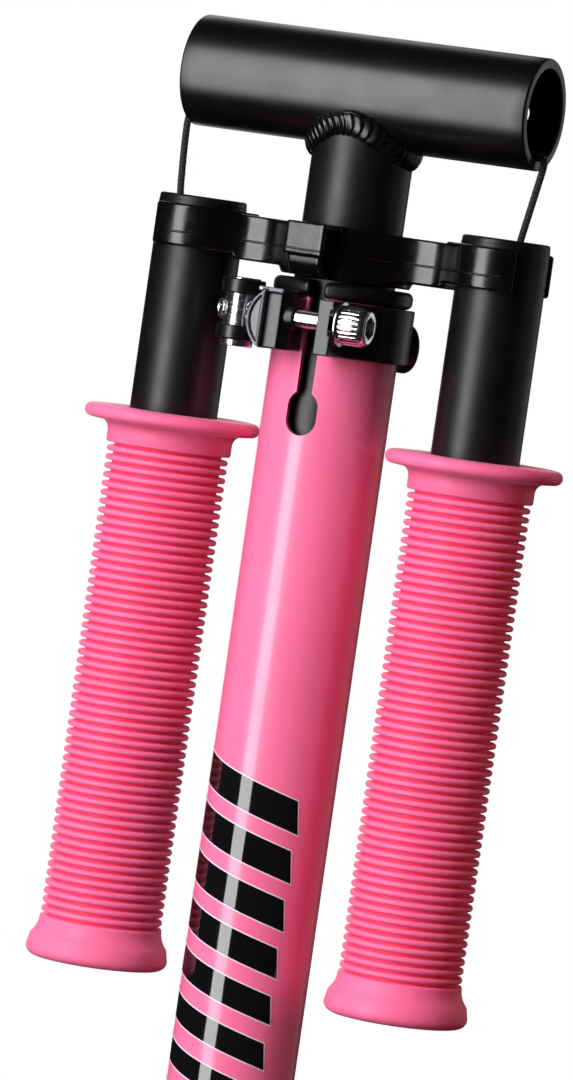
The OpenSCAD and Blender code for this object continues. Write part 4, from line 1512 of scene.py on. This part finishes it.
class HANDLEBAR_OT_saddle(bpy.types.Operator):
    """Makes the grey saddle washer"""
    bl_idname = "handlebar.saddle"
    bl_label = "Saddle washer"

    def execute(self, context):
        saddle = sculpt("saddle", saddle_field, (SADDLE_LOW.x - 0.5, SADDLE_LOW.y - 0.5, SADDLE_LOW.z - 0.5),
                        (SADDLE_HIGH.x + 5, SADDLE_HIGH.y + 0.5, SADDLE_HIGH.z + 1.5), 0.22,
                        finish_named("grey_acetal"))
        settle(saddle, "column", "grey_acetal", "saddle_washer")
        return {"FINISHED"}


def barrel_field(x, y, z):
    """The barrel nut, chamfered, with the bolt's hole across it."""
    around = np.hypot(x - BARREL_X, y - BOLT_Y)
    body = slab(around - BARREL_R, z, BARREL_LOW.z, BARREL_HIGH.z, 0.35)
    dimple = np.sqrt(around ** 2 + (z - BARREL_HIGH.z - 1.2) ** 2) - 2.2
    return cut(cut(body, dimple, 0.1), rod(y - BOLT_Y, z - BOLT_Z, 3.05), 0.15)


class HANDLEBAR_OT_barrel(bpy.types.Operator):
    """Makes the barrel nut that the lever turns on"""
    bl_idname = "handlebar.barrel"
    bl_label = "Barrel nut"

    def execute(self, context):
        barrel = sculpt("barrel", barrel_field, tuple(c - 0.6 for c in BARREL_LOW),
                        tuple(c + 0.6 for c in BARREL_HIGH), 0.22, finish_named("bright_steel"))
        settle(barrel, "column", "bright_steel", "barrel_nut")
        return {"FINISHED"}


# The lever's arm: how far it drops from its pivot to its far side, half its height, and
# the angles round the column of its root and its tip. Then half the height of its fork.
LEVER_DROP = 4.0
LEVER_HALF_H = 6.3
LEVER_START, LEVER_END = math.radians(212), math.radians(50)
LEVER_ROUNDING = 0.8
FORK_HALF_H = 7.6


def lever_field(x, y, z):
    """The lever: a fork on the barrel nut and an arm round the back of the collar."""
    inner, outer = COLLAR_HIGH.x + 0.9, LEVER_HIGH.y
    middle, half_t = (inner + outer) / 2, (outer - inner) / 2
    around = np.arctan2(y, x) % (2 * math.pi)
    pivot_span = math.hypot(BARREL_X, BOLT_Y) + inner
    away = ((x - BARREL_X) * -BARREL_X + (y - BOLT_Y) * -BOLT_Y) / math.hypot(BARREL_X, BOLT_Y)
    level = BOLT_Z - away * LEVER_DROP / pivot_span
    past_tip = (LEVER_END - around) * middle
    tip = np.maximum(past_tip + LEVER_HALF_H - half_t, 0)
    flat = np.maximum(np.abs(z - level) - LEVER_HALF_H, past_tip - half_t)
    tall = np.where(tip > 0, np.hypot(tip, np.abs(z - level)) - LEVER_HALF_H, flat)
    a, b = np.abs(rod(x, y, middle)) - half_t + LEVER_ROUNDING, tall + LEVER_ROUNDING
    arm = (np.hypot(np.maximum(a, 0), np.maximum(b, 0)) + np.minimum(np.maximum(a, b), 0)
           - LEVER_ROUNDING)
    arm = np.maximum(arm, (around - LEVER_START) * middle)
    px, py = BARREL_X, BOLT_Y
    root_at = LEVER_START - 0.13
    sx, sy = middle * math.cos(root_at), middle * math.sin(root_at)
    run = math.hypot(sx - px, sy - py)
    t = np.clip(((x - px) * (sx - px) + (y - py) * (sy - py)) / run ** 2, 0, 1)
    neck = np.hypot(x - px - t * (sx - px), y - py - t * (sy - py)) - (5.45 * (1 - t) + half_t * t)
    root = slab(neck, z, BOLT_Z - FORK_HALF_H, BOLT_Z + FORK_HALF_H, 0.5)
    root = np.maximum(root, -rod(x, y, inner - 0.05))
    gap = np.maximum(rod(x - px, y - py, BARREL_R + 4.9), np.abs(z - BOLT_Z) - 3.9)
    solid = join(arm, root, 1.5)
    return cut(cut(solid, gap, 0.4), rod(x - px, y - py, BARREL_R + 0.06), 0.2)


class HANDLEBAR_OT_lever(bpy.types.Operator):
    """Makes the clamp's lever"""
    bl_idname = "handlebar.lever"
    bl_label = "Clamp lever"

    def execute(self, context):
        lever = sculpt("lever", lever_field, tuple(c - 1.2 for c in LEVER_LOW),
                       (LEVER_HIGH.x + 2.5, LEVER_HIGH.y + 1, LEVER_HIGH.z + 2.5), 0.42,
                       finish_named("black_lever"))
        settle(lever, "lever", "black_lever", "clamp_lever")
        return {"FINISHED"}


def bush_field(x, y, z):
    """The guide bush: a sleeve with a rounded, slit lip."""
    around = np.hypot(x, y)
    lip = slab(around - BUSH_HIGH.x, z, COLUMN_TOP, BUSH_HIGH.z, 1.7)
    sleeve = np.maximum(around - (COLUMN_R - 1.68), np.abs(z - (BUSH_LOW.z + COLUMN_TOP) / 2 - 1)
                        - (COLUMN_TOP - BUSH_LOW.z) / 2 - 1)
    body = join(lip, sleeve, 0.2)
    body = cut(body, around - STEM_R - 0.06, 0.3)
    return cut(body, np.maximum(np.abs(x) - 1.8, y), 1.2)


class HANDLEBAR_OT_guide_bush(bpy.types.Operator):
    """Makes the guide bush in the column's top"""
    bl_idname = "handlebar.guide_bush"
    bl_label = "Guide bush"

    def execute(self, context):
        bush = sculpt("lipped_bush", bush_field, tuple(c - 1 for c in BUSH_LOW),
                      tuple(c + 1 for c in BUSH_HIGH), 0.4, finish_named("black_nylon"))
        settle(bush, "column", "black_nylon", "guide_bush")
        return {"FINISHED"}


def foot_clamp_field(x, y, z):
    """The two-bolt clamp at the column's foot."""
    ear_in, ear_out = 2.0, 9.0
    plan = join(rod(x, y, FOOT_HIGH.x), brick(x, y - 16, ear_out, FOOT_HIGH.y - 16, 1.2), 2.5)
    solid = slab(plan, z, FOOT_LOW.z, FOOT_HIGH.z, 0.8)
    solid = cut(solid, rod(x, y, COLUMN_R + 0.06), 0.4)
    solid = cut(solid, np.maximum(np.abs(x) - ear_in, -y), 0.5)
    waist = rod(y - FOOT_HIGH.y - 1.5, z - (FOOT_LOW.z + FOOT_HIGH.z) / 2, 4.2)
    solid = cut(solid, waist, 0.8)
    for level in foot_bolt_levels():
        solid = cut(solid, rod(y - foot_bolt_y(), z - level, 3.1), 0.2)
    return solid


def foot_bolt_y():
    """How far back the foot clamp's bolts are."""
    return (FOOT_BOLT_LOW.y + FOOT_BOLT_HIGH.y) / 2


def foot_bolt_levels():
    """Heights of the foot clamp's two bolts."""
    return FOOT_BOLT_LOW.z + 5, FOOT_BOLT_HIGH.z - 5


class HANDLEBAR_OT_foot_clamp(bpy.types.Operator):
    """Makes the clamp at the column's foot and its bolts"""
    bl_idname = "handlebar.foot_clamp"
    bl_label = "Foot clamp"

    def execute(self, context):
        clamp = sculpt("foot_clamp", foot_clamp_field, tuple(c - 1 for c in FOOT_LOW),
                       tuple(c + 1 for c in FOOT_HIGH), 0.5, finish_named("black_anodised"))
        settle(clamp, "column", "black_anodised", "steerer_clamp")
        shells = []
        for level in foot_bolt_levels():
            axis = (0, foot_bolt_y(), level)
            head = knurled_head(9.01, FOOT_BOLT_HIGH.x - 9.01, 5.0, 2.5, 24)
            shank = threaded_shank(FOOT_BOLT_LOW.x, 9.5, 0, 20, 3.0, 1.0)
            shells += [(*head, axis), (*shank, axis)]
        bolts = add_bolts("foot_clamp_bolts", shells, finish_named("bright_steel"))
        settle(bolts, "column", "bright_steel", "steerer_clamp_bolts")
        return {"FINISHED"}


# Each stripe of the film: how far its middle is below the film's top, and its height.
# Then the angles round the column, in degrees, where the stripes start and end, the lean
# of their ends, and how many steps they are made in, along and across.
STRIPES = ((0, 8.0), (12.4, 7.8), (24.6, 7.5), (36.6, 7.2), (48.4, 6.8), (60.0, 6.3),
           (71.2, 5.6), (82.0, 4.6), (92.0, 3.2))
STRIPE_START, STRIPE_END = -92, 50
STRIPE_LEAN = 0.15
STRIPE_STEPS, STRIPE_ROWS = 48, 4
FILM_THICK = 0.04


def stripe(middle, height, radius, slope, grow):
    """One slanted stripe wrapped on the column, as a thin closed plate."""
    steps, rows = STRIPE_STEPS, STRIPE_ROWS
    points = []
    start = STRIPE_START - math.degrees(grow / radius)
    end = STRIPE_END + math.degrees(grow / radius)
    for r in (radius - FILM_THICK, radius):
        for i in range(steps + 1):
            for k in range(rows + 1):
                lean = math.degrees(height / radius) * STRIPE_LEAN * (k / rows - 0.5)
                a = math.radians(start + (end - lean - start) * i / steps)
                z = middle - slope * a * radius + (height + 2 * grow) * (k / rows - 0.5)
                points.append((r * math.sin(a), -r * math.cos(a), z))
    layer = (steps + 1) * (rows + 1)

    def at(level, i, k):
        return level * layer + i * (rows + 1) + k

    faces = []
    for i in range(steps):
        for k in range(rows):
            ring = (i, k), (i + 1, k), (i + 1, k + 1), (i, k + 1)
            faces.append(tuple(at(1, *c) for c in ring))
            faces.append(tuple(at(0, *c) for c in ring)[::-1])
        for k in (0, rows):
            faces.append((at(0, i, k), at(0, i + 1, k), at(1, i + 1, k), at(1, i, k)))
    for k in range(rows):
        for i in (0, steps):
            faces.append((at(0, i, k), at(0, i, k + 1), at(1, i, k + 1), at(1, i, k)))
    return points, faces


class HANDLEBAR_OT_film(bpy.types.Operator):
    """Makes the striped film on the column"""
    bl_idname = "handlebar.film"
    bl_label = "Striped film"

    def execute(self, context):
        sizes = settings().decal
        for name, material, lift, grow in (("film_outline", "pale_film", 0.05, mm(sizes.outline)),
                                           ("film_stripes", "black_film", 0.09, 0)):
            points, faces = [], []
            for below, height in STRIPES:
                more, walls = stripe(mm(sizes.top) - below, height, COLUMN_R + lift,
                                     sizes.slope, grow)
                faces += [tuple(i + len(points) for i in f) for f in walls]
                points += more
            film = add_object(name, points, faces, finish_named(material), 40)
            face_outward(film)
            settle(film, "column", "pink_paint")
        return {"FINISHED"}


PIECES = (
    HANDLEBAR_OT_stage, HANDLEBAR_OT_cords, HANDLEBAR_OT_cad_finishes, HANDLEBAR_OT_tee,
    HANDLEBAR_OT_weld, HANDLEBAR_OT_holder, HANDLEBAR_OT_grips, HANDLEBAR_OT_mouth_bushes,
    HANDLEBAR_OT_collar, HANDLEBAR_OT_bolt, HANDLEBAR_OT_saddle, HANDLEBAR_OT_barrel,
    HANDLEBAR_OT_lever, HANDLEBAR_OT_guide_bush, HANDLEBAR_OT_foot_clamp, HANDLEBAR_OT_film,
)


class HANDLEBAR_PT_panel(bpy.types.Panel):
    """Lists the handlebar's pieces in the sidebar"""
    bl_idname = "HANDLEBAR_PT_panel"
    bl_label = "Handlebar"
    bl_space_type = "VIEW_3D"
    bl_region_type = "UI"
    bl_category = "Handlebar"

    def draw(self, context):
        for piece in PIECES:
            self.layout.operator(piece.bl_idname)
        for group in ("grip", "metal", "moulding", "cord", "decal", "colours", "studio"):
            box = self.layout.box()
            sizes = getattr(settings(), group)
            for key in sizes.__annotations__:
                box.prop(sizes, key)


CLASSES = (GripSizes, MetalSizes, MouldingSizes, CordSizes, DecalSizes, Colours, Studio,
           Handlebar, *PIECES, HANDLEBAR_PT_panel)


def register():
    """Registers the classes and the settings."""
    for one in CLASSES:
        bpy.utils.register_class(one)
    bpy.types.Scene.handlebar = bpy.props.PointerProperty(type=Handlebar)


def unregister():
    """Removes the settings and the classes."""
    del bpy.types.Scene.handlebar
    for one in reversed(CLASSES):
        bpy.utils.unregister_class(one)


def main():
    """Makes every piece in order and writes down the two boxes."""
    register()
    for piece in PIECES:
        group, name = piece.bl_idname.split(".")
        getattr(getattr(bpy.ops, group), name)()
    boxes = {"cad": [list(c) for c in CAD_BOX], "visual": [list(c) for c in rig.bounds()]}
    with open(SIZE_FILE, "w") as out:
        json.dump(boxes, out)


if __name__ == "__main__":
    main()
